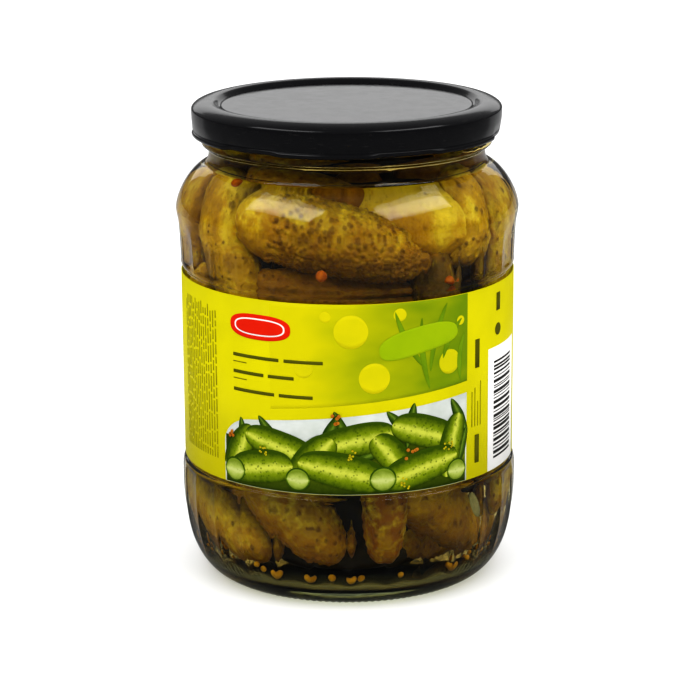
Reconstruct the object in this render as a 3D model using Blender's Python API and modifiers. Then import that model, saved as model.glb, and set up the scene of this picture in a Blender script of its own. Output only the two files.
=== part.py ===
"""A shut glass jar of pickled gherkins: fluted jar, twist-off cap, paper label and the heap inside.

Metres, +Z up. The origin is the middle of the base on the surface that the jar stands on, and the
front of the label faces -Y. Azimuths are degrees from the front, positive towards +X.
"""
import math
from dataclasses import dataclass

import bmesh
import bpy
import numpy as np
from mathutils import Matrix, Vector

# Gap between neighbouring pieces, and the distance within which a turned seam is welded
CLEARANCE = 0.0003
WELD = 0.00002

# Jar: heights are above the base
LIP_HEIGHT = 0.1334
FINISH_RADIUS = 0.0398
BEAD_RADIUS = 0.0402
BEAD_HEIGHT = 0.1232
BEAD_SWELL = 0.0012
NECK_RADIUS = 0.0384
NECK_FOOT = 0.1186
NECK_EASE = 0.0002
NECK_FILLET = 0.0016
LIP_CHAMFER = 0.0009
SHOULDER_RADIUS = 0.0478
SHOULDER_FOOT = 0.1047
SHOULDER_TOP = 0.1170
SHOULDER_POWER = 1.55
SHOULDER_SETBACK = 0.0008
SHOULDER_ROLL = 0.0004
SHOULDER_ROLL_DROP = 0.0035
PANEL_RADIUS = 0.04615
PANEL_TOP = 0.0884
PANEL_FOOT = 0.0334
BAND_STEP = 0.0009
UPPER_BAND_RADIUS = 0.0466
LOWER_BAND_RADIUS = 0.0474
HEEL_TOP = 0.0262
HEEL_POWER = 2.15
RING_RADIUS = 0.0352
RING_WIDTH = 0.0026
PUNT_HEIGHT = 0.0026
PUNT_RADIUS = 0.0300
PUNT_EDGE_HEIGHT = 0.0016
WALL = 0.0023
BORE_RADIUS = 0.0362
FLOOR_HEIGHT = 0.0052
FLOOR_RADIUS = 0.0310
INNER_HEEL_TOP = 0.0205

# Flutes: one turned step in two is drawn inwards, so each flute is two steps wide
FLUTES = 28
TURN_STEPS = 2 * FLUTES
FLUTE_DEPTH = 0.0006
LOWER_FLUTE = (0.0070, 0.0125, 0.0310, 0.0328)
UPPER_FLUTE = (0.0896, 0.0912, 0.0975, 0.1025)

# Cap
CAP_RADIUS = 0.0430
CAP_HEIGHT = 0.13425
CAP_FOOT = 0.1250
CAP_SHEET = 0.0005
CAP_CORNER = 0.0017
CAP_PANEL_RADIUS = 0.0330
CAP_PANEL_DROP = 0.0012
CAP_GROOVE_RADIUS = 0.0352
CAP_GROOVE_DROP = 0.0003
CAP_WAIST = 0.0002
CAP_RIM_INNER_RADIUS = 0.0372
CURL_RADIUS = 0.0008
CURL_SHANK = 2.6
CURL_LIP = 1.5
LUG_COUNT = 6
LUG_AZIMUTH = -38.0
LUG_HALF_ANGLE = 9.0
LUG_REACH = 0.0008

# Label
LABEL_SHEET = 0.00025
LABEL_TOP = 0.08715
LABEL_FOOT = 0.03435
LABEL_SEAM_ANGLE = 4.0
LABEL_STEPS = 56

# Heap: its bounds inside the glass, with the shoulder and the heel as lines of (radius, height) points
HEAP_SEED = 7
HEAP_GAP = 0.0006
HEAP_WALL_RADIUS = 0.0436
HEAP_FLOOR = 0.0060
HEAP_TOP = 0.1270
HEAP_SHOULDER = ((HEAP_WALL_RADIUS, 0.1092), (BORE_RADIUS, 0.1168))
HEAP_HEEL = ((0.0340, HEAP_FLOOR), (HEAP_WALL_RADIUS, 0.0165))
CORE_RADIUS = 0.0265
CORE_TOP = 0.1120
CORE_STEPS = 20
CORE_ROUNDING = 0.008
GHERKIN_SIDES = 10
GHERKIN_RINGS = 9
BALLS = 5
END_SHARE = 0.8
SETTLE_ROUNDS = 400
WALL_ROUNDS = 60

# Gherkins out of sight: a row behind the label, three rows round the back, and a few in the middle
COMMON_LENGTH = 0.044
COMMON_WIDTH = 0.0172
LENGTH_SPREAD = 0.004
WIDTH_SPREAD = 0.0015
HEIGHT_SPREAD = 0.003
COMMON_HOLD = 0.2
UPRIGHT = 80.0
UPRIGHT_SPREAD = 16.0
LEVEL_SPREAD = 20.0
LABEL_ROW_HEIGHT = 0.053
LABEL_ROW_AZIMUTHS = (-70, -40, -14, 12, 38, 66)
AZIMUTH_SPREAD = 4.0
BACK_HEIGHTS = (0.024, 0.060, 0.097)
BACK_COUNT = 5
BACK_START = 112.0
BACK_PITCH = 34.0
BACK_SHIFT = 10.0
MIDDLE_HEIGHTS = (0.028, 0.062, 0.096)
MIDDLE_DEPTH = 0.024
MIDDLE_WIDTH = 0.0165
MIDDLE_PITCH = 60.0


@dataclass
class Gherkin:
    """One gherkin: where its middle lies, how it leans, and its own size."""
    azimuth: float
    height: float
    lean: float
    length: float
    width: float
    depth: float = 0.0
    swing: float = 0.0
    bend: float = 0.0015
    taper: float = 0.08
    blunt: float = 2.5
    held: float = 0.9


# Gherkins that show at the front, from the neck down to the base
FRONT_GHERKINS = (
    Gherkin(-8, 0.1008, -13, 0.0495, 0.0174, bend=0.0012, taper=0.06, blunt=2.3, held=1.0),
    Gherkin(24, 0.1032, -3, 0.042, 0.0154, depth=0.0075, swing=22, taper=-0.04, blunt=3.2, held=1.0),
    Gherkin(-60, 0.0985, -64, 0.046, 0.0160, bend=0.0022, held=1.0),
    Gherkin(-86, 0.1030, 72, 0.040, 0.0150),
    Gherkin(-26, 0.1112, -14, 0.032, 0.0150, depth=0.011, held=1.0),
    Gherkin(-1, 0.0845, -8, 0.048, 0.0165, depth=0.006, bend=0.0010, held=1.0),
    Gherkin(59, 0.1090, 76, 0.028, 0.0132, held=1.0),
    Gherkin(86, 0.0960, 82, 0.042, 0.0150),
    Gherkin(40, 0.0820, 88, 0.036, 0.0140, depth=0.002, held=1.0),
    Gherkin(-33, 0.0270, -45, 0.046, 0.0175, taper=-0.06, held=1.0),
    Gherkin(15, 0.0325, 90, 0.043, 0.0130, taper=-0.06, held=1.0),
    Gherkin(-68, 0.0235, -12, 0.042, 0.0165),
    Gherkin(42, 0.0240, -40, 0.040, 0.0160, depth=0.002, held=1.0),
    Gherkin(64, 0.0150, -8, 0.038, 0.0150),
    Gherkin(80, 0.0330, 84, 0.040, 0.0145),
)


def new_object(name, mesh, collection):
    """Returns a new object of the mesh, in the collection."""
    obj = bpy.data.objects.new(name, mesh)
    collection.objects.link(obj)
    return obj


def new_collection(name):
    """Returns a new collection in the scene."""
    collection = bpy.data.collections.new(name)
    bpy.context.scene.collection.children.link(collection)
    return collection


def give_material(obj, name, colour, roughness, metallic=0.0, transmission=0.0):
    """Gives the object a material of its own."""
    material = bpy.data.materials.new(name)
    material.use_nodes = True
    shader = material.node_tree.nodes["Principled BSDF"]
    shader.inputs["Base Color"].default_value = (*colour, 1.0)
    shader.inputs["Roughness"].default_value = roughness
    shader.inputs["Metallic"].default_value = metallic
    shader.inputs["Transmission Weight"].default_value = transmission
    obj.data.materials.append(material)


def apply_modifiers(obj):
    """Bakes the object's modifiers into its mesh."""
    depsgraph = bpy.context.evaluated_depsgraph_get()
    mesh = bpy.data.meshes.new_from_object(obj.evaluated_get(depsgraph))
    old = obj.data
    obj.modifiers.clear()
    obj.data = mesh
    bpy.data.meshes.remove(old)


def profile_object(name, points, collection):
    """Returns an object whose edges join the (radius, height) points."""
    mesh = bpy.data.meshes.new(name)
    links = [(k, k + 1) for k in range(len(points) - 1)]
    mesh.from_pydata([(radius, 0.0, height) for radius, height in points], links, [])
    return new_object(name, mesh, collection)


def turn(obj, steps, angle=math.tau):
    """Turns the object's profile about +Z."""
    screw = obj.modifiers.new("Turn", "SCREW")
    screw.angle = angle
    screw.steps = steps
    screw.render_steps = steps
    screw.use_merge_vertices = angle == math.tau
    screw.merge_threshold = WELD
    screw.use_smooth_shade = True


def rounded_quarter(start, end, power, count):
    """Points of a rounded quarter from upright at the start to level at the end."""
    turns = [math.pi / 2 * k / count for k in range(count + 1)]
    exponent = 2.0 / power
    return [(end[0] + (start[0] - end[0]) * max(math.cos(t), 0.0) ** exponent,
             start[1] + (end[1] - start[1]) * math.sin(t) ** exponent) for t in turns]


def window(height, band):
    """How far a flute is cut at the height, from 0 to 1: fades in, holds and fades out over the band."""
    low, full_low, full_high, high = band
    rise = min(max((height - low) / (full_low - low), 0.0), 1.0)
    fall = min(max((high - height) / (high - full_high), 0.0), 1.0)
    return min(rise, fall)


def jar_profile():
    """The jar's cross-section: inside from the floor up, over the lip, and down the outside."""
    neck_edge = NECK_RADIUS + SHOULDER_SETBACK
    shoulder = rounded_quarter((SHOULDER_RADIUS, SHOULDER_FOOT), (neck_edge, SHOULDER_TOP), SHOULDER_POWER, 7)
    heel = rounded_quarter((LOWER_BAND_RADIUS, HEEL_TOP), (RING_RADIUS, 0.0), HEEL_POWER, 7)
    inner_heel = rounded_quarter((PANEL_RADIUS - WALL, INNER_HEEL_TOP), (FLOOR_RADIUS, FLOOR_HEIGHT), 2.0, 4)
    inner_shoulder = rounded_quarter((SHOULDER_RADIUS - WALL, SHOULDER_FOOT), (BORE_RADIUS, SHOULDER_TOP),
                                     SHOULDER_POWER, 4)
    band_middle = (SHOULDER_FOOT + PANEL_TOP) / 2
    inside = [(0.0, FLOOR_HEIGHT)] + inner_heel[::-1]
    inside += [(PANEL_RADIUS - WALL, PANEL_TOP)] + inner_shoulder
    inside += [(BORE_RADIUS, LIP_HEIGHT - LIP_CHAMFER)]
    lip = [(BORE_RADIUS + LIP_CHAMFER, LIP_HEIGHT), (FINISH_RADIUS - LIP_CHAMFER, LIP_HEIGHT)]
    finish = [(FINISH_RADIUS, LIP_HEIGHT - LIP_CHAMFER), (FINISH_RADIUS, BEAD_HEIGHT + BEAD_SWELL),
              (BEAD_RADIUS, BEAD_HEIGHT + BEAD_SWELL / 3), (BEAD_RADIUS, BEAD_HEIGHT - BEAD_SWELL / 3),
              (NECK_RADIUS + NECK_EASE, BEAD_HEIGHT - BEAD_SWELL), (NECK_RADIUS, NECK_FOOT + NECK_FILLET),
              (NECK_RADIUS + NECK_EASE, NECK_FOOT)]
    upper_band = [(SHOULDER_RADIUS - SHOULDER_ROLL, SHOULDER_FOOT - SHOULDER_ROLL_DROP),
                  ((SHOULDER_RADIUS + UPPER_BAND_RADIUS) / 2 - NECK_EASE, band_middle),
                  (UPPER_BAND_RADIUS + NECK_EASE, UPPER_FLUTE[1]), (UPPER_BAND_RADIUS, PANEL_TOP + BAND_STEP)]
    panel = [(PANEL_RADIUS, PANEL_TOP), (PANEL_RADIUS, PANEL_FOOT)]
    lower_band = [(LOWER_BAND_RADIUS - SHOULDER_ROLL, PANEL_FOOT - BAND_STEP),
                  (LOWER_BAND_RADIUS, LOWER_FLUTE[2] - BAND_STEP)]
    base = [(RING_RADIUS - RING_WIDTH, 0.0), (PUNT_RADIUS, PUNT_EDGE_HEIGHT), (0.0, PUNT_HEIGHT)]
    return inside + lip + finish + shoulder[::-1] + upper_band + panel + lower_band + heel + base


def cut_flutes(mesh):
    """Draws every second upright edge of the outer wall inwards, within the two fluted bands."""
    inner_wall = PANEL_RADIUS - WALL + WELD
    for vertex in mesh.vertices:
        radius = math.hypot(vertex.co.x, vertex.co.y)
        step = round(math.atan2(vertex.co.y, vertex.co.x) / math.tau * TURN_STEPS)
        if radius > inner_wall and step % 2:
            cut = max(window(vertex.co.z, LOWER_FLUTE), window(vertex.co.z, UPPER_FLUTE))
            scale = 1.0 - FLUTE_DEPTH * cut / radius
            vertex.co.x *= scale
            vertex.co.y *= scale


def build_jar(collection):
    """The glass jar, open at the mouth, with its two fluted bands and the recess for the label."""
    jar = profile_object("jar", jar_profile(), collection)
    turn(jar, TURN_STEPS)
    apply_modifiers(jar)
    cut_flutes(jar.data)
    give_material(jar, "clear_glass", (0.86, 0.93, 0.90), 0.04, transmission=1.0)
    return jar


def cap_profile():
    """The cap's cross-section: over the top from the middle out, down the skirt, round the curl and back."""
    panel_top = CAP_HEIGHT - CAP_PANEL_DROP
    groove_top = panel_top - CAP_GROOVE_DROP
    skirt_inner = CAP_RADIUS - CAP_SHEET
    curl_middle = CAP_FOOT + CURL_RADIUS
    corner = rounded_quarter((CAP_RADIUS, CAP_HEIGHT - CAP_CORNER), (CAP_RADIUS - CAP_CORNER, CAP_HEIGHT),
                             2.0, 4)
    top = [(0.0, panel_top), (CAP_PANEL_RADIUS, panel_top), (CAP_GROOVE_RADIUS, groove_top),
           (CAP_RIM_INNER_RADIUS, CAP_HEIGHT)]
    curl = [(CAP_RADIUS - CAP_WAIST, CAP_FOOT + CURL_SHANK * CURL_RADIUS), (CAP_RADIUS, curl_middle),
            (CAP_RADIUS - CURL_RADIUS, CAP_FOOT)]
    under = [(skirt_inner - CURL_RADIUS, curl_middle), (skirt_inner, CAP_FOOT + CURL_SHANK * CURL_RADIUS),
             (skirt_inner, CAP_HEIGHT - CAP_SHEET - CAP_CORNER),
             (skirt_inner - CAP_CORNER, CAP_HEIGHT - CAP_SHEET),
             (CAP_RIM_INNER_RADIUS + CAP_SHEET / 2, CAP_HEIGHT - CAP_SHEET),
             (CAP_GROOVE_RADIUS, groove_top - CAP_SHEET),
             (CAP_PANEL_RADIUS, panel_top - CAP_SHEET), (0.0, panel_top - CAP_SHEET)]
    return top + corner[::-1] + curl + under


def press_lugs(mesh):
    """Draws the inner side of the curl inwards at each lug."""
    for vertex in mesh.vertices:
        radius = math.hypot(vertex.co.x, vertex.co.y)
        if vertex.co.z > CAP_FOOT + CURL_LIP * CURL_RADIUS or radius > CAP_RADIUS - CURL_RADIUS / 2:
            continue
        azimuth = math.degrees(math.atan2(vertex.co.x, -vertex.co.y)) - LUG_AZIMUTH
        pitch = 360.0 / LUG_COUNT
        off = abs((azimuth + pitch / 2) % pitch - pitch / 2)
        if off < LUG_HALF_ANGLE:
            scale = (radius - LUG_REACH) / radius
            vertex.co.x *= scale
            vertex.co.y *= scale


def build_cap(collection):
    """The painted tinplate cap: sunk panel, raised rim, skirt, and a curled foot with lugs."""
    cap = profile_object("cap", cap_profile(), collection)
    turn(cap, TURN_STEPS)
    apply_modifiers(cap)
    press_lugs(cap.data)
    give_material(cap, "black_enamel", (0.012, 0.012, 0.013), 0.22)
    return cap


def build_label(collection):
    """The paper label: one strip round the jar, its two ends a little apart at the back."""
    inner = PANEL_RADIUS + CLEARANCE
    label = profile_object("label", [(inner, LABEL_TOP), (inner, LABEL_FOOT)], collection)
    turn(label, LABEL_STEPS, math.radians(360.0 - LABEL_SEAM_ANGLE))
    label.rotation_euler.z = math.radians(90.0 + LABEL_SEAM_ANGLE / 2)
    sheet = label.modifiers.new("Sheet", "SOLIDIFY")
    sheet.thickness = LABEL_SHEET
    sheet.offset = 1.0
    give_material(label, "printed_paper", (0.66, 0.62, 0.02), 0.45)
    return label


def common_gherkin(rng, azimuth, height, lean):
    """A gherkin of the common size, give or take a little, that yields to its neighbours."""
    return Gherkin(azimuth, height + rng.uniform(-HEIGHT_SPREAD, HEIGHT_SPREAD), lean,
                   COMMON_LENGTH + rng.uniform(-LENGTH_SPREAD, LENGTH_SPREAD),
                   COMMON_WIDTH + rng.uniform(-WIDTH_SPREAD, WIDTH_SPREAD), held=COMMON_HOLD)


def hidden_gherkins(rng):
    """Gherkins out of sight: behind the label, round the back and in the middle."""
    found = []
    for azimuth in LABEL_ROW_AZIMUTHS:
        turned = azimuth + rng.uniform(-AZIMUTH_SPREAD, AZIMUTH_SPREAD)
        lean = UPRIGHT + rng.uniform(-UPRIGHT_SPREAD, UPRIGHT_SPREAD)
        found.append(common_gherkin(rng, turned, LABEL_ROW_HEIGHT, lean))
    for row, height in enumerate(BACK_HEIGHTS):
        for place in range(BACK_COUNT):
            middle, spread = (UPRIGHT, UPRIGHT_SPREAD) if (place + row) % 3 else (0.0, LEVEL_SPREAD)
            azimuth = BACK_START + BACK_PITCH * place + BACK_SHIFT * row
            found.append(common_gherkin(rng, azimuth, height, middle + rng.uniform(-spread, spread)))
    for row, height in enumerate(MIDDLE_HEIGHTS):
        for side in range(2):
            azimuth = 180.0 * side + MIDDLE_PITCH * row
            lean = UPRIGHT + rng.uniform(-UPRIGHT_SPREAD, UPRIGHT_SPREAD) / 2
            found.append(Gherkin(azimuth, height, lean, COMMON_LENGTH, MIDDLE_WIDTH, depth=MIDDLE_DEPTH,
                                 held=COMMON_HOLD))
    return found


def starting_ends(gherkin):
    """The two ends of the gherkin's axis when its middle lies as deep as its own size lets it."""
    half = (gherkin.length - END_SHARE * gherkin.width) / 2
    lean = math.radians(gherkin.lean)
    azimuth = math.radians(gherkin.azimuth)
    reach = HEAP_WALL_RADIUS - gherkin.width / 2 - HEAP_GAP
    across = half * math.cos(lean)
    out = math.sqrt(max(reach ** 2 - across ** 2, 0.0)) - gherkin.depth
    middle = np.array([out * math.sin(azimuth), -out * math.cos(azimuth), gherkin.height])
    facing = azimuth - math.radians(gherkin.swing)
    sideways = np.array([math.cos(facing), math.sin(facing), 0.0])
    axis = sideways * math.cos(lean) + np.array([0.0, 0.0, math.sin(lean)])
    return [middle - half * axis, middle + half * axis]


def inside_planes():
    """Lines that bound the heap in the (radius, height) plane, each as outward normal and offset."""
    return [((1.0, 0.0), HEAP_WALL_RADIUS), ((0.0, -1.0), -HEAP_FLOOR), ((0.0, 1.0), HEAP_TOP),
            line_through(*HEAP_SHOULDER), line_through(*HEAP_HEEL)]


def line_through(first, second):
    """The line through two (radius, height) points, as outward normal and offset."""
    along = (second[0] - first[0], second[1] - first[1])
    size = math.hypot(*along)
    normal = (along[1] / size, -along[0] / size)
    return normal, normal[0] * first[0] + normal[1] * first[1]


def settle(gherkins):
    """Moves the gherkins' ends until no two share space and all lie inside the glass.

    Each gherkin is a row of balls. Balls that overlap are pushed apart, balls past a wall are pushed
    back, and a gherkin that is held moves less than its neighbour. The last rounds heed the wall alone.
    """
    ends = np.array([starting_ends(g) for g in gherkins])
    spans = np.linalg.norm(ends[:, 1] - ends[:, 0], axis=1)
    share = np.linspace(0.0, 1.0, BALLS)
    radii = np.concatenate([g.width / 2 * (1.0 - g.taper * (2 * share - 1)) for g in gherkins])
    owner = np.repeat(np.arange(len(gherkins)), BALLS)
    loose = np.array([1.0 - g.held for g in gherkins])[owner]
    apart = radii[:, None] + radii[None, :]
    yields = loose[:, None] / (loose[:, None] + loose[None, :] + WELD)
    yields[owner[:, None] == owner[None, :]] = 0.0
    for turn_number in range(SETTLE_ROUNDS + WALL_ROUNDS):
        balls = (ends[:, :1] * (1 - share)[None, :, None] + ends[:, 1:] * share[None, :, None]).reshape(-1, 3)
        move = np.zeros_like(balls)
        if turn_number < SETTLE_ROUNDS:
            offset = balls[:, None] - balls[None, :]
            distance = np.linalg.norm(offset, axis=2) + WELD
            overlap = np.clip(apart - distance, 0.0, None) * yields
            move = 0.5 * (offset / distance[..., None] * overlap[..., None]).sum(axis=1)
        move += push_inside(balls + move, radii + HEAP_GAP)
        move = move.reshape(len(gherkins), BALLS, 3)
        ends[:, 0] += 2.0 * (move * (1 - share)[None, :, None]).mean(axis=1)
        ends[:, 1] += 2.0 * (move * share[None, :, None]).mean(axis=1)
        middle = ends.mean(axis=1)
        axis = ends[:, 1] - ends[:, 0]
        axis *= (spans / np.linalg.norm(axis, axis=1))[:, None] / 2
        ends[:, 0] = middle - axis
        ends[:, 1] = middle + axis
    return ends


def push_inside(balls, radii):
    """The move that brings each ball back inside the glass."""
    radius = np.hypot(balls[:, 0], balls[:, 1]) + WELD / 100
    outward = balls[:, :2] / radius[:, None]
    move = np.zeros_like(balls)
    for (side, up), offset in inside_planes():
        over = np.clip(side * radius + up * balls[:, 2] + radii - offset, 0.0, None)
        move[:, :2] -= outward * (over * side)[:, None]
        move[:, 2] -= over * up
    return move


def gherkin_mesh(gherkin, ends):
    """A gherkin with few sides: a ball stretched to blunt ends, tapered, bent, and laid along its axis."""
    shape = bmesh.new()
    bmesh.ops.create_uvsphere(shape, u_segments=GHERKIN_SIDES, v_segments=GHERKIN_RINGS, radius=1.0)
    exponent = 2.0 / gherkin.blunt
    for vertex in shape.verts:
        around = math.atan2(vertex.co.y, vertex.co.x)
        level = max(min(vertex.co.z, 1.0), -1.0)
        along = math.copysign(abs(level) ** exponent, level)
        girth = math.sqrt(1.0 - level * level) ** exponent * (1.0 - gherkin.taper * along)
        arch = -gherkin.bend * along * along
        vertex.co.x = gherkin.width / 2 * girth * math.cos(around) + arch
        vertex.co.y = gherkin.width / 2 * girth * math.sin(around)
        vertex.co.z = gherkin.length / 2 * along
    shape.transform(laid_along(ends))
    mesh = bpy.data.meshes.new("gherkin")
    shape.to_mesh(mesh)
    shape.free()
    return mesh


def laid_along(ends):
    """The matrix that lays +Z along the axis, with +X turned outwards from the jar's middle."""
    middle = Vector(ends.mean(axis=0))
    axis = Vector(ends[1] - ends[0]).normalized()
    outward = Vector((middle.x, middle.y, 0.0))
    outward = (outward - axis * outward.dot(axis)).normalized()
    across = axis.cross(outward)
    turned = Matrix((outward, across, axis)).transposed().to_4x4()
    return Matrix.Translation(middle) @ turned


def core_profile():
    """The heap's core: a drum with rounded edges, closed on the axis at both ends."""
    level_radius = CORE_RADIUS - CORE_ROUNDING
    top = rounded_quarter((CORE_RADIUS, CORE_TOP - CORE_ROUNDING), (level_radius, CORE_TOP), 2.0, 2)
    foot = rounded_quarter((CORE_RADIUS, HEAP_FLOOR + CORE_ROUNDING), (level_radius, HEAP_FLOOR), 2.0, 2)
    return [(0.0, CORE_TOP)] + top[::-1] + foot + [(0.0, HEAP_FLOOR)]


def keep_largest_island(mesh):
    """Deletes every loose scrap and sealed hollow, which leaves the one outer skin."""
    shape = bmesh.new()
    shape.from_mesh(mesh)
    unseen = set(shape.verts)
    islands = []
    while unseen:
        stack = [unseen.pop()]
        island = set(stack)
        while stack:
            for edge in stack.pop().link_edges:
                for vertex in edge.verts:
                    if vertex in unseen:
                        unseen.discard(vertex)
                        island.add(vertex)
                        stack.append(vertex)
        islands.append(island)
    largest = max(islands, key=len)
    bmesh.ops.delete(shape, geom=[v for v in shape.verts if v not in largest], context="VERTS")
    shape.to_mesh(mesh)
    shape.free()


def build_heap(collection):
    """The gherkins: a core with every piece that shows fused onto it."""
    gherkins = list(FRONT_GHERKINS) + hidden_gherkins(np.random.default_rng(HEAP_SEED))
    ends = settle(gherkins)
    heap = profile_object("pickles", core_profile(), collection)
    turn(heap, CORE_STEPS)
    apply_modifiers(heap)
    pieces = new_collection("heap_pieces")
    for place, gherkin in enumerate(gherkins):
        new_object(f"gherkin_{place}", gherkin_mesh(gherkin, ends[place]), pieces)
    fuse = heap.modifiers.new("Fuse", "BOOLEAN")
    fuse.operation = "UNION"
    fuse.operand_type = "COLLECTION"
    fuse.collection = pieces
    fuse.solver = "MANIFOLD"
    apply_modifiers(heap)
    for piece in list(pieces.objects):
        bpy.data.objects.remove(piece, do_unlink=True)
    bpy.data.collections.remove(pieces)
    keep_largest_island(heap.data)
    heap.data.shade_smooth()
    give_material(heap, "gherkin_skin", (0.30, 0.22, 0.02), 0.35)
    return heap


def main():
    """Builds the jar from an empty scene."""
    for obj in list(bpy.data.objects):
        bpy.data.objects.remove(obj, do_unlink=True)
    jar = new_collection("pickle_jar")
    build_jar(jar)
    build_cap(jar)
    build_label(jar)
    build_heap(jar)


main()
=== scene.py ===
"""Looks of the pickle jar: glass, cap, label, brine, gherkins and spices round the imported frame.

Metres, +Z up, the frame's own origin. Azimuths are degrees from the front (-Y), positive towards +X. On the
label a place is (along, height): the arc length from the front and the height above the base.
"""

import logging
import math
from dataclasses import dataclass, field
from enum import Enum
from typing import Callable, Sequence

import bpy
import numpy as np
from mathutils import Matrix, Vector


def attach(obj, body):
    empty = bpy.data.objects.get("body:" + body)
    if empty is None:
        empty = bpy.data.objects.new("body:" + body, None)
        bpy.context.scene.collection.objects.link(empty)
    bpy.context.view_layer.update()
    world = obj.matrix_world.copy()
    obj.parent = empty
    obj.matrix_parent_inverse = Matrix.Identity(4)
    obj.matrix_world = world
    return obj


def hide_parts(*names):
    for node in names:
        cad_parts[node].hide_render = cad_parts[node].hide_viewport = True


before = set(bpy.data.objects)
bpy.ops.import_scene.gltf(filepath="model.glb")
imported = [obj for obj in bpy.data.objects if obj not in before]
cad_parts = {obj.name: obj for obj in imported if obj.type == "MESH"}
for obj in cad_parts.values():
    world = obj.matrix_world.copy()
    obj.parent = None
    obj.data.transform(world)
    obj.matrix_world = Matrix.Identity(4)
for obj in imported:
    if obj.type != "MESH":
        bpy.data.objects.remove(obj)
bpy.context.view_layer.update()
BODY = "root"

Array = np.ndarray
Socket = bpy.types.NodeSocket
Colour = tuple[float, float, float]
Point = tuple[float, float]
Numbers = tuple[float, ...]

WHITE = (1.0, 1.0, 1.0)
FIBRE_SCALE = 4200.0
FIBRE_HEIGHT = 0.00002
PAPER_ROUGHNESS = (0.31, 0.44)
PAPER_REFRACTION = 1.12

log = logging.getLogger("pickle_jar")


class Part(Enum):
    """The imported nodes, and the record's slot that each one's looks go by."""
    JAR = ("jar", "glass")
    CAP = ("cap", "cap_enamel")
    LABEL = ("label", "label_paper")
    HEAP = ("pickles", "gherkin")

    @property
    def node(self) -> str:
        """The node's name."""
        return self.value[0]

    @property
    def slot(self) -> str:
        """The material slot's name."""
        return self.value[1]


class NodeGraph:
    """A node tree, with short ways to add nodes and join them."""

    def __init__(self, tree: bpy.types.NodeTree) -> None:
        """Works on that tree."""
        self.tree = tree

    def add(self, kind: str, **settings: object) -> bpy.types.Node:
        """Adds a node of that type and sets its properties."""
        node = self.tree.nodes.new(kind)
        for key, value in settings.items():
            setattr(node, key, value)
        return node

    def feed(self, socket: Socket, value: object) -> None:
        """Joins an input to an output socket, or sets its value."""
        if isinstance(value, Socket):
            self.tree.links.new(value, socket)
        else:
            socket.default_value = value

    def stretched(self, place: Socket, scale: Sequence[float]) -> Socket:
        """Scales a point along each axis."""
        node = self.add("ShaderNodeMapping")
        self.feed(node.inputs["Vector"], place)
        node.inputs["Scale"].default_value = scale
        return node.outputs["Vector"]

    def part_of(self, place: Socket, axis: str) -> Socket:
        """One coordinate of a point, by its axis: X, Y or Z."""
        node = self.add("ShaderNodeSeparateXYZ")
        self.feed(node.inputs["Vector"], place)
        return node.outputs[axis]

    def noise(self, place: Socket, scale: float, detail: float = 3.0,
              roughness: float = 0.5) -> Socket:
        """Noise between 0 and 1.

        Args:
            place: the point at which it is read.
            scale: how many features there are in a metre.
            detail: how many finer layers it has.
            roughness: how strong those are.

        Returns:
            The noise's value.
        """
        node = self.add("ShaderNodeTexNoise")
        self.feed(node.inputs["Vector"], place)
        self.feed(node.inputs["Scale"], scale)
        self.feed(node.inputs["Detail"], detail)
        self.feed(node.inputs["Roughness"], roughness)
        return node.outputs["Fac"]

    def cells(self, place: Socket, scale: float, feature: str = "F1") -> Socket:
        """Distance to the nearest of a set of scattered points, in cells of which a metre holds scale."""
        node = self.add("ShaderNodeTexVoronoi", feature=feature)
        self.feed(node.inputs["Vector"], place)
        self.feed(node.inputs["Scale"], scale)
        return node.outputs["Distance"]

    def maths(self, operation: str, first: object, second: object = 0.0, third: object = 0.0) -> Socket:
        """Joins up to three numbers by an operation."""
        node = self.add("ShaderNodeMath", operation=operation)
        for socket, value in zip(node.inputs, (first, second, third)):
            self.feed(socket, value)
        return node.outputs["Value"]

    def ranged(self, value: Socket, low: float, high: float, to_low: float = 0.0,
               to_high: float = 1.0) -> Socket:
        """Maps a number from one range to another, held at both ends.

        Args:
            value: the number.
            low: where the range starts.
            high: where it ends.
            to_low: the result at its start.
            to_high: the result at its end.

        Returns:
            The mapped number.
        """
        node = self.add("ShaderNodeMapRange", interpolation_type="SMOOTHSTEP")
        self.feed(node.inputs["Value"], value)
        for name, number in (("From Min", low), ("From Max", high), ("To Min", to_low), ("To Max", to_high)):
            self.feed(node.inputs[name], number)
        return node.outputs["Result"]

    def blend(self, factor: object, first: object, second: object) -> Socket:
        """Mixes two colours."""
        node = self.add("ShaderNodeMix", data_type="RGBA")
        self.feed(node.inputs[0], factor)
        self.feed(node.inputs[6], rgba(first))
        self.feed(node.inputs[7], rgba(second))
        return node.outputs[2]

    def ramp(self, factor: Socket, stops: Sequence[tuple[float, Colour]]) -> Socket:
        """Reads a colour off a scale of (position, colour) stops."""
        node = self.add("ShaderNodeValToRGB")
        elements = node.color_ramp.elements
        while len(elements) < len(stops):
            elements.new(0.5)
        for element, (position, colour) in zip(elements, stops):
            element.position = position
            element.color = rgba(colour)
        self.feed(node.inputs["Fac"], factor)
        return node.outputs["Color"]


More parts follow.
